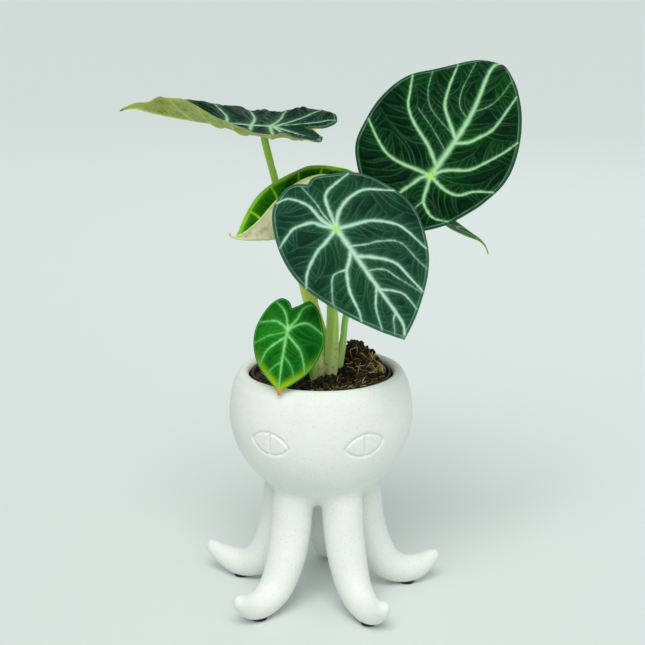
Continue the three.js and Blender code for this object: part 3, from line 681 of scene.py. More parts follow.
def planter_distance(points):
    """Signed distance to the planter: the bowl and its legs less the cavity, with a round lip."""
    flat_r = np.hypot(points[:, 0], points[:, 1])
    centre = np.sqrt(flat_r**2 + (points[:, 2] - BOWL_Z) ** 2)
    solid = centre - BOWL_R
    azimuth = np.degrees(np.arctan2(points[:, 0], -points[:, 1]))
    for index in range(LEG_COUNT):
        apart = np.abs((azimuth - math.degrees(leg_azimuth(index)) + 180) % 360 - 180)
        near = np.flatnonzero((apart < LEG_SECTOR) & (points[:, 2] < BOWL_Z - BOWL_R / 2))
        leg = leg_distance(points[near], index)
        solid[near] = smooth_min(solid[near], leg, SHANK_TO_BOWL)
    cavity = centre - (BOWL_R - WALL)
    shell = smooth_max(solid, -cavity, 0.6)
    shell = smooth_max(shell, points[:, 2] - LIP_Z + 0.5, 2.5)
    lip = np.hypot(flat_r - LIP_R, points[:, 2] - LIP_Z) - LIP
    shell = smooth_min(shell, lip, 2)
    shell = smooth_max(shell, SOLE_Z - points[:, 2], 1)
    return shell + UNEVEN * value_noise(points, UNEVEN_SIZE, 5)


def settle(points, distance, rounds):
    """Moves points onto the surface where distance() is nought."""
    step = 0.02
    for _ in range(rounds):
        here = distance(points)
        slope = np.stack([distance(points + step * np.eye(3)[i]) - here for i in range(3)], 1) / step
        size = np.maximum((slope**2).sum(1), 0.2)
        move = -here[:, None] * slope / size[:, None]
        length = np.linalg.norm(move, axis=1)[:, None]
        points = points + move * np.minimum(1, 0.8 / np.maximum(length, 1e-9))
    return points


def rough_planter():
    """A closed union of the bowl's wall and the legs, from a voxel remesh."""
    outer = arc(0, BOWL_Z, BOWL_R, -89.5, 22, 50)
    lip = arc(LIP_R, LIP_Z, LIP, 20, 180, 12)
    inner = arc(0, BOWL_Z, BOWL_R - WALL, 18, -89.5, 50)
    parts = [lathe(outer + lip + inner + outer[:1], 120)]
    for index in range(LEG_COUNT):
        azimuth = leg_azimuth(index)
        line = [(r * math.sin(azimuth), -r * math.cos(azimuth), z, size)
                for r, z, size in smooth_curve(leg_line(index), 40)]
        parts.append(tube(line, 32))
    points, faces = joined(parts)
    mesh = bpy.data.meshes.new("rough")
    mesh.from_pydata(points.tolist(), [], faces)
    obj = add_object("rough", mesh)
    remesh = obj.modifiers.new("remesh", "REMESH")
    remesh.mode = "VOXEL"
    remesh.voxel_size = MESH_SIZE
    graph = bpy.context.evaluated_depsgraph_get()
    made = bpy.data.meshes.new_from_object(obj.evaluated_get(graph))
    bpy.data.objects.remove(obj)
    return made


def planter():
    """The rough mesh, finer by the eyes, moved onto the true surface and engraved."""
    edit = bmesh.new()
    edit.from_mesh(rough_planter())
    points = np.array([v.co for v in edit.verts])
    near = groove_reach(points) < FINE_NEAR_GROOVE
    edges = [e for e in edit.edges if near[e.verts[0].index] and near[e.verts[1].index]]
    bmesh.ops.subdivide_edges(edit, edges=edges, cuts=3, use_grid_fill=True)
    for _ in range(3):
        bmesh.ops.smooth_vert(edit, verts=edit.verts, factor=0.5, use_axis_x=True, use_axis_y=True,
                              use_axis_z=True)
    points, faces = taken(edit)
    points = settle(points, planter_distance, 8)
    inwards = [0, 0, BOWL_Z] - points
    inwards /= np.linalg.norm(inwards, axis=1)[:, None]
    depth = GROOVE_DEPTH * bell(groove_reach(points), GROOVE_WIDTH)
    points = points + depth[:, None] * inwards
    obj = add_mesh("planter_glaze", points, faces)
    finish_piece(obj, "stoneware", stoneware(), "planter")


def foot_pads():
    material = felt()
    top = box_mm("foot_pad_1")[1][2]
    for index in range(LEG_COUNT):
        azimuth = leg_azimuth(index)
        profile = [(0.01, 0.02), (PAD_R - 0.2, 0.02), (PAD_R - 0.05, 0.1), (PAD_R, 0.25),
                   (PAD_R, top - 0.1), (PAD_R - 0.1, top + 0.2), (0.01, top + 0.4)]
        points, faces = lathe(profile, 64)
        edge = np.hypot(points[:, 0], points[:, 1]) / PAD_R
        points[:, :2] *= (1 + 0.03 * value_noise(points + 40 * index, 0.7, 3) * edge)[:, None]
        points += [PAD_DISTANCE * math.sin(azimuth), -PAD_DISTANCE * math.cos(azimuth), 0]
        obj = add_mesh(f"felt_pad_{index + 1}", points, faces)
        finish_piece(obj, "felt", material, f"foot_pad_{index + 1}")


# ---- the nursery pot and the soil ----
def pot_inside(z):
    share = (z - POT_FLOOR_Z) / (POT_RIM_Z - POT_FLOOR_Z)
    return POT_BOTTOM_R + (POT_TOP_R - FLANGE - POT_BOTTOM_R) * share - POT_WALL


def nursery_pot():
    shoulder = POT_RIM_Z - FLANGE_HEIGHT
    bead = arc(POT_TOP_R - POT_BEAD, POT_RIM_Z - POT_BEAD, POT_BEAD, 0, 165, 12)
    floor = POT_FLOOR_Z + POT_WALL
    heights = np.linspace(POT_RIM_Z - 2 * POT_BEAD, floor + 1, 40)
    profile = [
        (0.01, POT_FLOOR_Z), (POT_BOTTOM_R - 0.8, POT_FLOOR_Z), (POT_BOTTOM_R, POT_FLOOR_Z + 0.8),
        (pot_inside(shoulder) + POT_WALL, shoulder - 0.3), (POT_TOP_R - 0.2, shoulder),
        (POT_TOP_R, shoulder + 0.3), *bead, *[(pot_inside(z), z) for z in heights],
        (pot_inside(floor) - 1, floor), (0.01, floor),
    ]
    points, faces = lathe(profile, 144)
    obj = add_mesh("pot_wall", points, faces)
    finish_piece(obj, "pot_plastic", pot_plastic(), "nursery_pot")


def hill(x, y, shape):
    away = (x - shape["x"]) ** 2 + (y - shape["y"]) ** 2
    return shape["height"] * np.exp(-away / (2 * shape["spread"] ** 2))


def soil_height(x, y):
    """The soil's top: it slopes, with a bank at the left, a mound, a rise at the stalks and lumps."""
    edge = np.minimum(1, np.hypot(x, y) / POT_TOP_R)
    rise = hill(x, y, MOUND) * (1 - edge**6) + hill(x, y, CROWN)
    points = flat_points(x, y)
    lumps = sum(height * value_noise(points, size, seed) for size, height, seed in LUMPS)
    bank = SOIL_BANK * smooth_step(4, -30, x)
    return SOIL_Z + SOIL_SLOPE * x + bank + rise + lumps * (1 - 0.5 * edge**6)


def on_soil(radius, angle):
    """Points on the soil at those distances and angles from the axis."""
    points = around(radius, angle, 0.0).reshape(-1, 3)
    points[:, 2] = soil_height(points[:, 0], points[:, 1])
    return points


def soil():
    rings, sides = 120, 340
    floor = POT_FLOOR_Z + POT_WALL + 0.4
    edge_r = pot_inside(SOIL_Z - 4) + 0.15
    angle = all_round(sides)
    radii = edge_r * np.linspace(0.004, 1, rings)
    top = on_soil(radii[:, None], angle)
    low = around(pot_inside(floor) - 0.3, angle, floor)
    points = np.vstack([top, low])
    faces = [tuple(face) for face in grid_faces(rings + 1, sides, joined=True)[:, ::-1]]
    faces.append(tuple(range(sides)))
    last = rings * sides
    faces.append(tuple(range(last, last + sides))[::-1])
    obj = add_mesh("soil_bed", points, faces)
    finish_piece(obj, "soil", soil_material(), "soil")


def scatter(random, count, reach):
    """Random points on the soil, within that reach of the axis."""
    angle = random.uniform(0, 2 * math.pi, count)
    return on_soil(reach * np.sqrt(random.uniform(0, 1, count)), angle)


def ball():
    """Points and faces of a small sphere."""
    edit = bmesh.new()
    bmesh.ops.create_icosphere(edit, subdivisions=2, radius=1)
    return taken(edit)


def spun(random):
    """A random rotation as a 3 x 3 array."""
    return np.linalg.qr(random.normal(size=(3, 3)))[0]


CRUMBS, BANK_CRUMBS = 620, 190


def crumbs():
    """Lumps of peat and bark all over the soil, and more along the pot's wall at the left."""
    random = np.random.default_rng(7)
    points, faces = ball()
    parts, tones = [], []
    places = scatter(random, CRUMBS, pot_inside(SOIL_Z) - 2)
    angle = np.radians(random.uniform(130, 300, BANK_CRUMBS))
    bank = on_soil(pot_inside(SOIL_Z) - random.uniform(0.9, 4, BANK_CRUMBS), angle)
    bank[:, 2] += random.uniform(0, 1.3, BANK_CRUMBS)
    for k, place in enumerate(np.vstack([places, bank])):
        size = random.uniform(0.45, 1.5) * (1 if k % 5 else 1.5)
        stretch = random.uniform(0.55, 1.3, 3) * size
        lump = points * (1 + 0.28 * value_noise(points + 9 * k, 0.7, 21)[:, None])
        parts.append((lump * stretch @ spun(random) + place + [0, 0, 0.25 * size], faces))
        tone = random.uniform(0, 0.55) if k % 6 else random.uniform(0.7, 1)
        tones.append(np.full(len(points), tone))
    obj = add_mesh("peat_crumbs", *joined(parts))
    set_values(obj, "tone", np.concatenate(tones))
    finish_piece(obj, "soil", toned("peat", "#0b0806", "#5c4a30", 0.9, 1200, 0.0005))


FIBRE_GROUPS = [  # x, y, spread, how many
    (30, 2, 4, 44), (26, 8, 4, 20), (20, 14, 6, 12), (6, -30, 4, 34), (12, -31, 4, 20),
    (-12, -26, 8, 14), (-24, 6, 9, 18), (0, 24, 10, 16), (18, -16, 10, 16), (22, 20, 5, 8),
]
FIBRE_POINTS, FIBRE_SIDES = 9, 6


def fibres():
    """Golden coir fibres that lie over the soil."""
    random = np.random.default_rng(31)
    parts, tones = [], []
    for x0, y0, spread, count in FIBRE_GROUPS:
        for _ in range(count):
            x, y = x0 + random.normal() * spread, y0 + random.normal() * spread
            reach = pot_inside(SOIL_Z) - 3
            size = math.hypot(x, y)
            if size > reach:
                x, y = x * reach / size, y * reach / size
            length = random.uniform(3, 11)
            heading = random.uniform(0, 2 * math.pi)
            t = np.linspace(-0.5, 0.5, FIBRE_POINTS)
            bow = random.normal() * 0.12
            dx = length * (t * math.cos(heading) - bow * t * t * math.sin(heading))
            dy = length * (t * math.sin(heading) + bow * t * t * math.cos(heading))
            far = np.minimum(1, (pot_inside(SOIL_Z) - 0.8) / np.hypot(x + dx, y + dy))
            px, py = (x + dx) * far, (y + dy) * far
            ground = soil_height(px, py)
            line_z = 0.5 * ground + 0.5 * np.linspace(ground[0], ground[-1], FIBRE_POINTS)
            lift = random.uniform(0.2, 1.1) + np.maximum(ground - line_z, 0)
            radius = random.uniform(0.1, 0.26) * (1 - 0.5 * np.abs(t) * 2)
            parts.append(tube(np.stack([px, py, line_z + lift, radius], 1), FIBRE_SIDES))
            tones.append(np.full(FIBRE_POINTS * FIBRE_SIDES, random.uniform(0.1, 1)))
    obj = add_mesh("coir_fibres", *joined(parts))
    set_values(obj, "tone", np.concatenate(tones))
    finish_piece(obj, "soil", toned("coir", "#7d5a2a", "#fbd892", 0.7, 900, 0.0002))


CORM_GIRTH = ((0, 0.05), (0.06, 0.5), (0.25, 0.8), (0.55, 1), (0.8, 0.95), (0.94, 0.7), (1, 0.1))


def rhizome():
    low, high = box_mm("rhizome")
    middle = (low + high) / 2 - AXIS
    radius = (high[0] - low[0]) / 2 - 0.3
    heights = np.linspace(0, 1, 50)
    girth = np.interp(heights, *zip(*CORM_GIRTH)) * (1 + 0.03 * np.sin(70 * heights))
    profile = [(radius * g, low[2] + 0.2 + t * (high[2] - low[2] - 0.3)) for g, t in zip(girth, heights)]
    points, faces = lathe(profile, 72)
    points[:, :2] *= (1 + 0.05 * value_noise(points, 2.5, 17))[:, None]
    points[:, :2] += middle[:2]
    obj = add_mesh("corm", points, faces)
    set_values(obj, "tone", 0.5 + 0.4 * value_noise(points, 3, 19))
    material = toned("corm_skin", "#4a3520", "#a58a58", 0.85, 700, 0.0005)
    finish_piece(obj, "rhizome", material, "rhizome")


# ---- leaf blades ----
def blade_length(leaf):
    return leaf["left"][-1][0]


def leaf_axes(leaf):
    """Unit vectors at the point where the stalk joins: towards the tip, the left and the upper side."""
    heading, rise, roll = (math.radians(leaf[key]) for key in ("heading", "rise", "roll"))
    tip = np.array([
        math.cos(heading) * math.cos(rise), math.sin(heading) * math.cos(rise), math.sin(rise),
    ])
    level = np.cross([0, 0, 1], tip)
    level /= np.linalg.norm(level)
    upper = np.cross(tip, level)
    side = level * math.cos(roll) + upper * math.sin(roll)
    normal = upper * math.cos(roll) - level * math.sin(roll)
    return tip, side, normal


def follow(point, tip, normal, length, turn):
    """Along a circular arc of turn radians, for arrays of lengths and turns."""
    safe = np.where(np.abs(turn) < 1e-9, 1e-9, turn)
    along = length * np.sin(safe) / safe
    down = length * (1 - np.cos(safe)) / safe
    cos, sin = np.cos(turn)[:, None], np.sin(turn)[:, None]
    point = point + along[:, None] * tip - down[:, None] * normal
    return point, cos * tip - sin * normal, cos * normal + sin * tip


def on_blade(leaf, u, v):
    """Where points of the flat blade lie in space."""
    tip, side, normal = leaf_axes(leaf)
    length = blade_length(leaf)
    lobe = -min(p[0] for p in leaf["left"] + leaf["right"])
    start = np.array(leaf["attach"]) + [0, 0, SOIL_Z]
    straight = length - leaf["tail"]
    body = np.clip(u, 0, straight)
    rest = np.maximum(u - straight, 0)
    bend, curl = math.radians(leaf["bend"]), math.radians(leaf["curl"])
    ahead = follow(start, tip, normal, body, bend * body / straight)
    ahead = follow(*ahead, rest, curl * rest / leaf["tail"])
    back = np.maximum(-u, 0)
    behind = follow(start, -tip, normal, back, math.radians(leaf["lobe_bend"]) * back / lobe)
    is_back = (u < 0)[:, None]
    point = np.where(is_back, behind[0], ahead[0])
    up = np.where(is_back, behind[2], ahead[2])
    width = np.abs(v)
    for half, sign in ((0, 1), (1, -1)):
        outline = leaf["left"] if half == 0 else leaf["right"]
        widest = max(p[1] for p in outline)
        more = leaf["tip_fold"][half] * np.maximum(u / length, 0) ** 2
        more = more + leaf["lobe_fold"][half] * back / lobe
        fold = np.radians(leaf["fold"][half] + more)
        cup = math.radians(leaf["cup"][half] or 0.01) / widest
        across = (np.sin(fold + cup * width) - np.sin(fold)) / cup
        rise = (np.cos(fold) - np.cos(fold + cup * width)) / cup
        moved = point + (sign * across)[:, None] * side + rise[:, None] * up
        result = moved if half == 0 else np.where((v >= 0)[:, None], result, moved)
    return result


def blade_normal(leaf, u, v):
    step = 0.15
    along = on_blade(leaf, u + step, v) - on_blade(leaf, u - step, v)
    across = on_blade(leaf, u, v + step) - on_blade(leaf, u, v - step)
    normal = np.cross(along, across)
    return normal / np.linalg.norm(normal, axis=1)[:, None]


def usual_veins(leaf):
    """Veins for a blade that shows little of itself: a midrib and curved pairs to the margin."""
    length = blade_length(leaf)
    scale = length / 80
    found = [((3 * scale, 0.9), [(0, 0), (length / 2, 0), (length, 0)])]
    for outline, sign in ((leaf["left"], 1), (leaf["right"], -1)):
        margin = even_curve(outline, 101)
        for percent, start in SIDE_PAIRS:
            u1, v1 = margin[percent] * 0.97
            u0 = start * length
            bow = [(u0, 0), (u0 + 0.35 * (u1 - u0) - 2 * scale, sign * v1 * 0.42),
                   (u0 + 0.75 * (u1 - u0) - scale, sign * v1 * 0.8), (u1, sign * v1)]
            found.append(((2.1 * scale, 0.8), bow))
    return found


def sampled_veins(veins, margin_tree):
    """Closely spaced points (u, v, width, share) of each vein, led on nearly to the margin."""
    result = []
    for (first, last), points in veins:
        points = np.asarray(points, float)
        fine = even_curve(points, 30)
        ahead = (fine[-1] - fine[-4]) / np.linalg.norm(fine[-1] - fine[-4])
        more = 0
        while more < 8 and margin_tree.find((*(fine[-1] + more * ahead), 0))[2] > MARGIN_GAP:
            more += 0.5
        if more:
            points = np.vstack([points, fine[-1] + more * ahead])
        length = np.linalg.norm(np.diff(fine, axis=0), axis=1).sum() + more
        line = even_curve(points, max(4, int(length / VEIN_STEP)))
        for _ in range(24):
            line[1:-1] = (line[:-2] + line[1:-1] * 2 + line[2:]) / 4
        share = np.linspace(0, 1, len(line))
        wave = 1 + 0.08 * np.sin(share * length * 0.9)
        width = (first + (last - first) * share**0.85) * wave
        result.append(np.column_stack([line, width, share]))
    return result


def tree_of(points):
    tree = KDTree(len(points))
    for k, (u, v) in enumerate(points[:, :2]):
        tree.insert((u, v, 0), k)
    tree.balance()
    return tree


def nearest(tree, values, u, v):
    """Distance to the tree's nearest point and that point's value."""
    found = [tree.find((a, b, 0)) for a, b in zip(u.tolist(), v.tolist())]
    index = np.array([f[1] for f in found])
    return np.array([f[2] for f in found]), values[index]


def thin_veins(mains, margin, spacing, seed):
    """Fine veins that leave the main ones, bend outwards and stop where they meet another."""
    random = np.random.default_rng(seed)
    every = np.vstack(mains)
    main_tree, margin_tree = tree_of(every), tree_of(margin)
    grown = np.zeros((0, 2))
    result = []
    for line in mains:
        gap = int(spacing / VEIN_STEP)
        for start, sign in itertools.product(range(gap // 2, len(line) - 6, gap), (-1, 1)):
            start = min(len(line) - 3, max(2, start + int(random.integers(-3, 4))))
            ahead = line[start + 1, :2] - line[start - 1, :2]
            heading = math.atan2(ahead[1], ahead[0]) + sign * math.radians(random.uniform(57, 69))
            turn = -sign * math.radians(random.uniform(0.5, 1.3))
            at = line[start, :2].copy()
            path = [at.copy()]
            for step in range(70):
                at = at + 0.5 * np.array([math.cos(heading), math.sin(heading)])
                heading += turn + math.radians(random.normal() * 3)
                path.append(at.copy())
                if step < 4:
                    continue
                if main_tree.find((*at, 0))[2] < 0.5 or margin_tree.find((*at, 0))[2] < MARGIN_GAP:
                    break
                if len(grown) and np.abs(grown - at).sum(1).min() < 0.45:
                    break
            path = np.array(path)
            grown = np.vstack([grown, path[3:]])
            width = np.linspace(0.4, 0.15, len(path))
            result.append(np.column_stack([path, width, np.linspace(0, 1, len(path))]))
    return np.vstack(result)


ROW_POWER = 1.9  # the rows meet the midrib closer together at the notch than at the tip


def blade_grid(leaf, rows, columns):
    """Flat u, v and share q from the midrib to the margin, as (rows + 1) x (2 columns + 1) arrays."""
    notch, length = leaf["left"][0][0], blade_length(leaf)
    middle = notch + (length - notch) * np.linspace(0, 1, rows + 1) ** ROW_POWER
    q = np.abs(np.linspace(-1, 1, 2 * columns + 1))
    u = np.zeros((rows + 1, 2 * columns + 1))
    v = np.zeros_like(u)
    halves = (("left", slice(columns, None), 1), ("right", slice(0, columns + 1), -1))
    for half, part, sign in halves:
        margin = even_curve(leaf[half], rows + 1)
        share = q[part][None]
        u[:, part] = middle[:, None] * (1 - share) + margin[:, :1] * share
        v[:, part] = sign * margin[:, 1:] * share
    return u, v, np.broadcast_to(q, u.shape).copy()


class Network:
    """A blade's veins, and what they do to the surface at flat points."""

    def __init__(self, name, leaf):
        self.length = blade_length(leaf)
        left, right = (even_curve(leaf[side], 500) for side in ("left", "right"))
        self.margin = np.vstack([left, right * [1, -1]])
        self.mains = sampled_veins(VEINS.get(name) or usual_veins(leaf), tree_of(self.margin))
        self.tip = (0.87, 0.94) if name == "young" else (0.955, 0.985)
        # The curled blade's margin band is wider: with its bright tint it is painted light along its lit
        # rim as well as its own margin colour.
        self.edge = 3 if name == "curled" else 1.4
        self.seed = sum(map(ord, name))
        spacing = 3.4 if self.length > 60 else 2.8
        self.thin = thin_veins(self.mains, self.margin, spacing, self.seed)

    def at(self, u, v):
        """Shares from 0 to 1 for the material and the relief, and distances in mm."""
        length = self.length
        midrib, *others = self.mains
        groups = [[midrib], [line for line in others if line[0, 2] > WIDE_FROM],
                  [line for line in others if line[0, 2] <= WIDE_FROM]]
        thin_away, thin_facts = nearest(tree_of(self.thin), self.thin[:, 2:], u, v)
        thin_width, thin_share = thin_facts.T
        margin_away, _ = nearest(tree_of(self.margin), self.margin[:, 0], u, v)
        scale = min(1, length / 60)
        flat = flat_points(u, v)
        rough = 0.16 * value_noise(flat, 0.55, 3) + 0.1 * value_noise(flat, 1.7, 4)
        heart_away = np.hypot(u, v)
        vein, halo = np.zeros_like(u), np.zeros_like(u)
        away, width = np.full_like(u, 99), np.ones_like(u)
        for group in filter(None, groups):
            lines = np.vstack(group)
            apart, wide = nearest(tree_of(lines), lines[:, 2], u, v)
            ragged = np.maximum(apart + rough, 0)
            strength = 0.4 + 0.55 * smooth_step(0.3, 1.1, wide)
            vein = np.maximum(vein, strength * bell(ragged, 0.42 * wide + 0.12, 2.2))
            halo = np.maximum(halo, bell(ragged, 0.6 * wide + 0.8))
            closer = apart - 0.5 * wide < away - 0.5 * width
            away, width = np.where(closer, apart, away), np.where(closer, wide, width)
        vein = np.maximum(vein, 0.8 * bell(heart_away, 2.8 * scale))
        rim = bell(margin_away - 1.5 * scale, 0.24 * scale)
        rim *= 0.45 * (0.7 + 0.3 * value_noise(flat, 4, 2))
        return dict(
            vein=np.maximum(vein, rim),
            minor=bell(thin_away, 0.5 * thin_width + 0.1) * (1 - 0.75 * thin_share),
            halo=np.maximum(halo, bell(heart_away, 5 * scale)),
            edge=1 - smooth_step(0.25, self.edge, margin_away),
            low=smooth_step(0.25, 0.95, u / length) * (1 - smooth_step(1, 9 * scale, margin_away)),
            tip=smooth_step(*self.tip, u / length),
            point=smooth_step(0.965, 0.99, u / length),
            heart=bell(heart_away, 1.9 * scale),
            away=away, thin_away=thin_away, margin_away=margin_away, width=width,
        )


def blade_faces(top, under):
    """Faces of both sides of a blade from its point numbers, and which side each is on."""
    faces, sides = [], []
    for side, grid in enumerate((top, under)):
        quads = np.stack([grid[:-1, :-1], grid[1:, :-1], grid[1:, 1:], grid[:-1, 1:]], -1)
        made = quads[1:-1].reshape(-1, 4).tolist()
        made += quads[0][:, [0, 1, 2]].tolist() + quads[-1][:, [0, 1, 3]].tolist()
        faces += made if side == 0 else [face[::-1] for face in made]
        sides += [side] * len(made)
    return faces, np.array(sides)


QUILT_HEIGHT, QUILT_WIDTH = 1.3, 3.2
VEIN_DIP, RIB_HEIGHT = 0.25, 0.35
SHARES = ("vein", "minor", "halo", "pillow", "edge", "low", "tip", "point", "heart")


def blade(name, rows, columns, under_columns, relief):
    """One blade: quilted above, ribbed beneath, with both sides sharing their margin."""
    leaf = LEAVES[name]
    network = Network(name, leaf)
    u, v, q = blade_grid(leaf, rows, columns)
    shape = u.shape
    u, v, q = u.ravel(), v.ravel(), q.ravel()
    flat = flat_points(u, v)
    facts = network.at(u, v)
    surface, normal = on_blade(leaf, u, v), blade_normal(leaf, u, v)
    calm = smooth_step(0, 4, facts["margin_away"])
    groove = bell(facts["away"], 0.5 * facts["width"] + 0.15)
    swell = 1 - bell(facts["away"], QUILT_WIDTH)
    swell *= 0.5 + 0.5 * (1 - bell(facts["thin_away"], 1.1))
    facts["pillow"] = swell * calm
    height = QUILT_HEIGHT * swell - VEIN_DIP * groove + 0.05 * value_noise(flat, 0.8, network.seed)
    height *= relief * calm
    wave_height, wave_size = RUFFLE.get(name, (0.35 * relief, 13))
    wave = wave_height * value_noise(flat, wave_size, network.seed + 1) * smooth_step(0.4, 1, q)
    surface = surface + (wave * (1 - facts["tip"]))[:, None] * normal
    half = BLADE_HALF * np.sqrt(np.maximum(1 - q**8, 0))
    rib = (RIB_HEIGHT * groove * facts["width"] + 0.1 * facts["minor"]) * calm
    top = surface + (half + height)[:, None] * normal
    low = surface - (half + rib - 0.8 * height)[:, None] * normal

    keep = np.unique(np.round(np.linspace(0, shape[1] - 1, 2 * under_columns + 1)).astype(int))
    kept = np.arange(len(u)).reshape(shape)[:, keep]
    top_index = np.arange(len(u)).reshape(shape)
    low_index = len(u) + np.arange(kept.size).reshape(kept.shape)
    low_index[:, [0, -1]] = top_index[:, [0, -1]]
    for end in (0, -1):
        top_index[end] = top_index[end, 0]
        low_index[end] = top_index[end, 0]
    faces, sides = blade_faces(top_index, low_index)
    source = np.concatenate([np.arange(len(u)), kept.ravel()])
    points = np.vstack([top, low[kept.ravel()]])
    used = np.unique(np.concatenate([top_index.ravel(), low_index.ravel()]))
    number = np.zeros(len(points), int)
    number[used] = np.arange(len(used))
    faces = [number[face].tolist() for face in faces]
    obj = add_mesh(f"leaf_{name}", points[used], faces)
    for key in SHARES:
        set_values(obj, key, facts[key][source[used]])
    set_values(obj, "flat", flat[source[used]], "FLOAT_VECTOR", "vector")
    obj.data.polygons.foreach_set("material_index", sides.astype(np.int32))
    bake_map(obj, flat[source[used]], sides)
    return obj


def bake_map(obj, flat, sides):
    """The flat blade twice, side by side, one for each of its sides, as the map for baking."""
    layer = obj.data.uv_layers.new(name="OFBake")
    count = len(obj.data.loops)
    vertex = np.zeros(count, np.int32)
    obj.data.loops.foreach_get("vertex_index", vertex)
    totals = np.zeros(len(obj.data.polygons), np.int32)
    obj.data.polygons.foreach_get("loop_total", totals)
    side = np.repeat(sides, totals)
    low, high = flat.min(0), flat.max(0)
    scale = min(0.47 / (high[1] - low[1]), 0.96 / (high[0] - low[0]))
    uv = np.stack([
        0.015 + (flat[vertex, 1] - low[1]) * scale + 0.5 * side,
        0.02 + (flat[vertex, 0] - low[0]) * scale,
    ], 1)
    layer.data.foreach_set("uv", uv.astype(np.float32).ravel())


TOP_TINTS = ("deep", "pale", "glow", "vein", "halo", "edge", "low", "tip", "point", "heart")
TOPS = {
    "front": "#06261a #163f2b #124326 #b9dcc3 #356b50 #3f6f5a #164a30 #4f8a62 #6f7a4a #9edc50",
    "right": "#001307 #022b12 #033c08 #a4d8a0 #164f2a #25564a #033a14 #04470f #2f6a30 #a8e048",
    "left": "#031b12 #0a3323 #0b3d24 #a4d0a4 #22583c #3c6a48 #174d35 #3a6a48 #2f5a44 #8fc870",
    # The curled row's bright yellow-green edge tint is painted light on its lit rim, over the margin's
    # own colour.
    "curled": "#0b3f04 #1c6a08 #2c850c #b4ec4c #4d9a12 #9ccf3a #4a9a14 #cfd070 #c9a560 #b4e050",
    "back": "#08331f #174f2d #1f5f2c #8fcf8a #3a7a50 #8fb040 #4a7a2c #7fa048 #5f7040 #a8e048",
    "young": "#023f08 #0a5c0d #1f8010 #8ad07f #2f9632 #2c7c1c #aed004 #e88a20 #4a3018 #a5e395",
}
SURFACES = {  # shine and roughness of the upper side
    "front": (0.14, 0.36), "right": (0.08, 0.36), "left": (0.04, 0.4),
    "curled": (0.15, 0.5), "back": (0.1, 0.5), "young": (0.12, 0.5),
}
UNDER_TINTS = ("body", "shade", "rib", "edge", "tip")
UNDERS = {
    "front": "#8fae76 #7c9c68 #c4d8a0 #8aa874 #7c9c68",
    "right": "#86a874 #6f9464 #bcd49a #7f9f6c #5f8054",
    "left": "#9fb244 #7d8636 #cdd880 #a9b85a #4f7a4c",
    "curled": "#fdf9d6 #deb096 #e3eca6 #c3dc78 #c9b56c",
    "back": "#a9bd50 #8a9a40 #cfd882 #c9d060 #7f8f40",
    "young": "#7fc050 #69ad45 #c2e58e #8fce55 #d08a2c",
}
DETAIL = {  # rows, columns, columns beneath, depth of the relief
    "front": (320, 92, 24, 1.3), "right": (330, 92, 24, 1.3), "left": (320, 84, 34, 1.2),
    "curled": (280, 72, 40, 0.8), "back": (200, 48, 24, 0.7), "young": (220, 64, 20, 0.55),
}


def leaves():
    for name in LEAVES:
        obj = blade(name, *DETAIL[name])
        tints = dict(zip(TOP_TINTS, TOPS[name].split()))
        obj.data.materials.append(leaf_top(f"leaf_top_{name}", tints, *SURFACES[name]))
        under = leaf_under(f"leaf_under_{name}", dict(zip(UNDER_TINTS, UNDERS[name].split())))
        slot = "young_blade" if name == "young" else "blade"
        finish_piece(obj, slot, under, f"blade_{name}")


# ---- stalks ----
STALK_RINGS, STALK_SIDES = 150, 40
STALKS = {  # how far the sheath reaches, the tints from base to top, and whether it has spots
    "left": (0.34, ("#e6eaac", "#d2dc58", "#8fc832"), True),
    "front": (0.3, ("#dbe8a4", "#b6da60", "#a2d848"), True),
    "right": (0.14, ("#c6e08c", "#a4d45e", "#98d044"), False),
    "curled": (0.2, ("#c6d894", "#a9cc66", "#9cc94c"), False),
    "back": (0.2, ("#c6d894", "#a9cc66", "#8fbf4a"), False),
    "young": (0.2, ("#c9dc8c", "#9fcc56", "#8fd060"), False),
}


def stalk_line(leaf):
    """The stalk's points and radii, ended square to the blade's underside."""
    line = [(x, y, z + SOIL_Z, radius) for x, y, z, radius in leaf["stalk"]]
    end = on_blade(leaf, np.array([leaf.get("at", 0.0)]), np.array([1e-4]))[0]
    normal = leaf_axes(leaf)[2]
    radius = line[-1][3]
    near = end - leaf.get("approach", 5) * normal
    end = end - 0.15 * normal
    return [*line, (*near, radius), (*end, radius * 1.25)]


def stalk(name, sheath, tints, spots):
    """A leaf stalk; its lower part is a sheath that opens in a groove along one side."""
    leaf = LEAVES[name]
    line = even_curve(stalk_line(leaf), STALK_RINGS)
    line[:, 3] *= 1.02

    def shape(angle, share):
        open_part = 1 - smooth_step(sheath, sheath + 0.12, share)
        turn = (angle - 2.2 - 1.5 * share + math.pi) % (2 * math.pi) - math.pi
        groove = 0.2 * bell(turn, 0.3) - 0.08 * bell(np.abs(turn) - 0.62, 0.22)
        ridges = 0.006 * np.cos(9 * angle + 2 * share)
        shallow = 0.07 * bell(turn, 0.5)
        return 1 - open_part * groove - (1 - open_part) * shallow + ridges

    points, faces = tube(line, STALK_SIDES, shape)
    points = points + 0.1 * np.stack([value_noise(points, 5, s) for s in (41, 42, 43)], 1)
    obj = add_mesh(f"petiole_{name}", points, faces)
    set_values(obj, "share", np.repeat(np.linspace(0, 1, len(line)), STALK_SIDES))
    material = stalk_material(f"stalk_{name}", *tints, spots)
    finish_piece(obj, "stalk", material, f"stalk_{name}")


def stalks():
    for name, row in STALKS.items():
        stalk(name, *row)


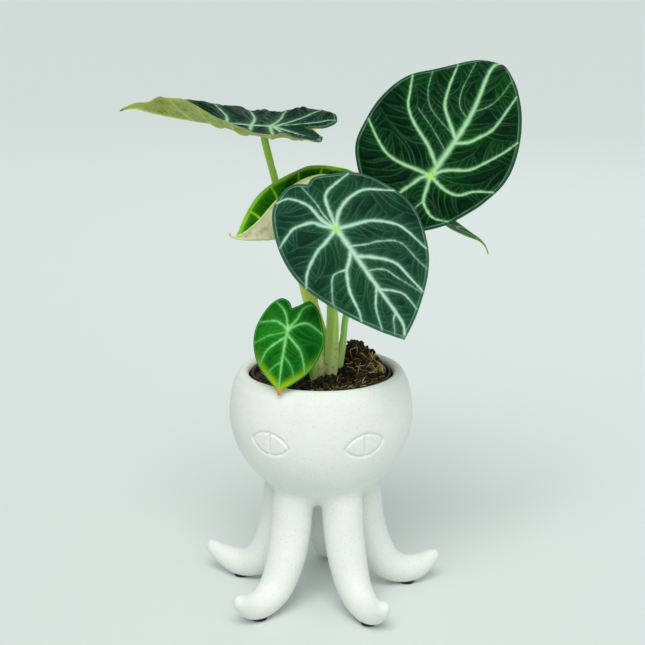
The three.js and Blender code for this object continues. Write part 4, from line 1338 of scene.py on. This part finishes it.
# ---- the scene around it ----
FLOOR_HALF = 15  # metres
KEY_STRENGTH, KEY_SOFTNESS, KEY_FROM = 1.95, 38, Vector((-0.08, -0.72, 1))
SKY_STRENGTH = 0.56
LENS = 86.03
CAMERA_PLACE = (0.75, -804.5, 369.6)
CAMERA_DOWN = 14.85


def light(name, place, size, power, tint):
    """A round area light at a place in metres that shines at the middle of the object."""
    data = bpy.data.lights.new(name, "AREA")
    data.shape = "DISK"
    data.size = size
    data.energy = power
    data.color = tint
    obj = add_object(name, data)
    obj.location = place
    aim = Vector((0, 0, 0.16)) - Vector(place)
    obj.rotation_euler = aim.to_track_quat("-Z", "Y").to_euler()


def studio():
    mesh = bpy.data.meshes.new("floor")
    corners = [(x * FLOOR_HALF, y * FLOOR_HALF, 0) for x, y in ((-1, -1), (1, -1), (1, 1), (-1, 1))]
    mesh.from_pydata(corners, [], [(0, 1, 2, 3)])
    mesh.materials.append(Material("floor", Roughness=0.7, Base_Color="#dadfdc").material)
    add_object("floor", mesh)
    sun = bpy.data.lights.new("key", "SUN")
    sun.energy = KEY_STRENGTH
    sun.angle = math.radians(KEY_SOFTNESS)
    add_object("key", sun).rotation_euler = KEY_FROM.to_track_quat("Z", "Y").to_euler()
    light("fill", (1.2, -0.9, 0.7), 1.0, 2, (0.97, 0.99, 1))
    light("back", (0.3, 1.3, 1.0), 0.9, 1.5, (0.97, 1, 1))
    world = bpy.data.worlds.new("studio")
    world.use_nodes = True
    sky = world.node_tree.nodes["Background"]
    sky.inputs["Color"].default_value = (0.8, 0.9, 0.89, 1)
    sky.inputs["Strength"].default_value = SKY_STRENGTH
    bpy.context.scene.world = world


def camera():
    data = bpy.data.cameras.new("camera")
    data.sensor_width = 36
    data.lens = LENS
    obj = add_object("camera", data)
    obj.location = (np.array(CAMERA_PLACE) + AXIS) * MM
    obj.rotation_euler = (math.radians(90 - CAMERA_DOWN), 0, 0)
    bpy.context.scene.camera = obj


camera()
studio()
planter()
foot_pads()
nursery_pot()
soil()
crumbs()
fibres()
rhizome()
stalks()
leaves()

bpy.context.scene.view_settings.view_transform = "Standard"
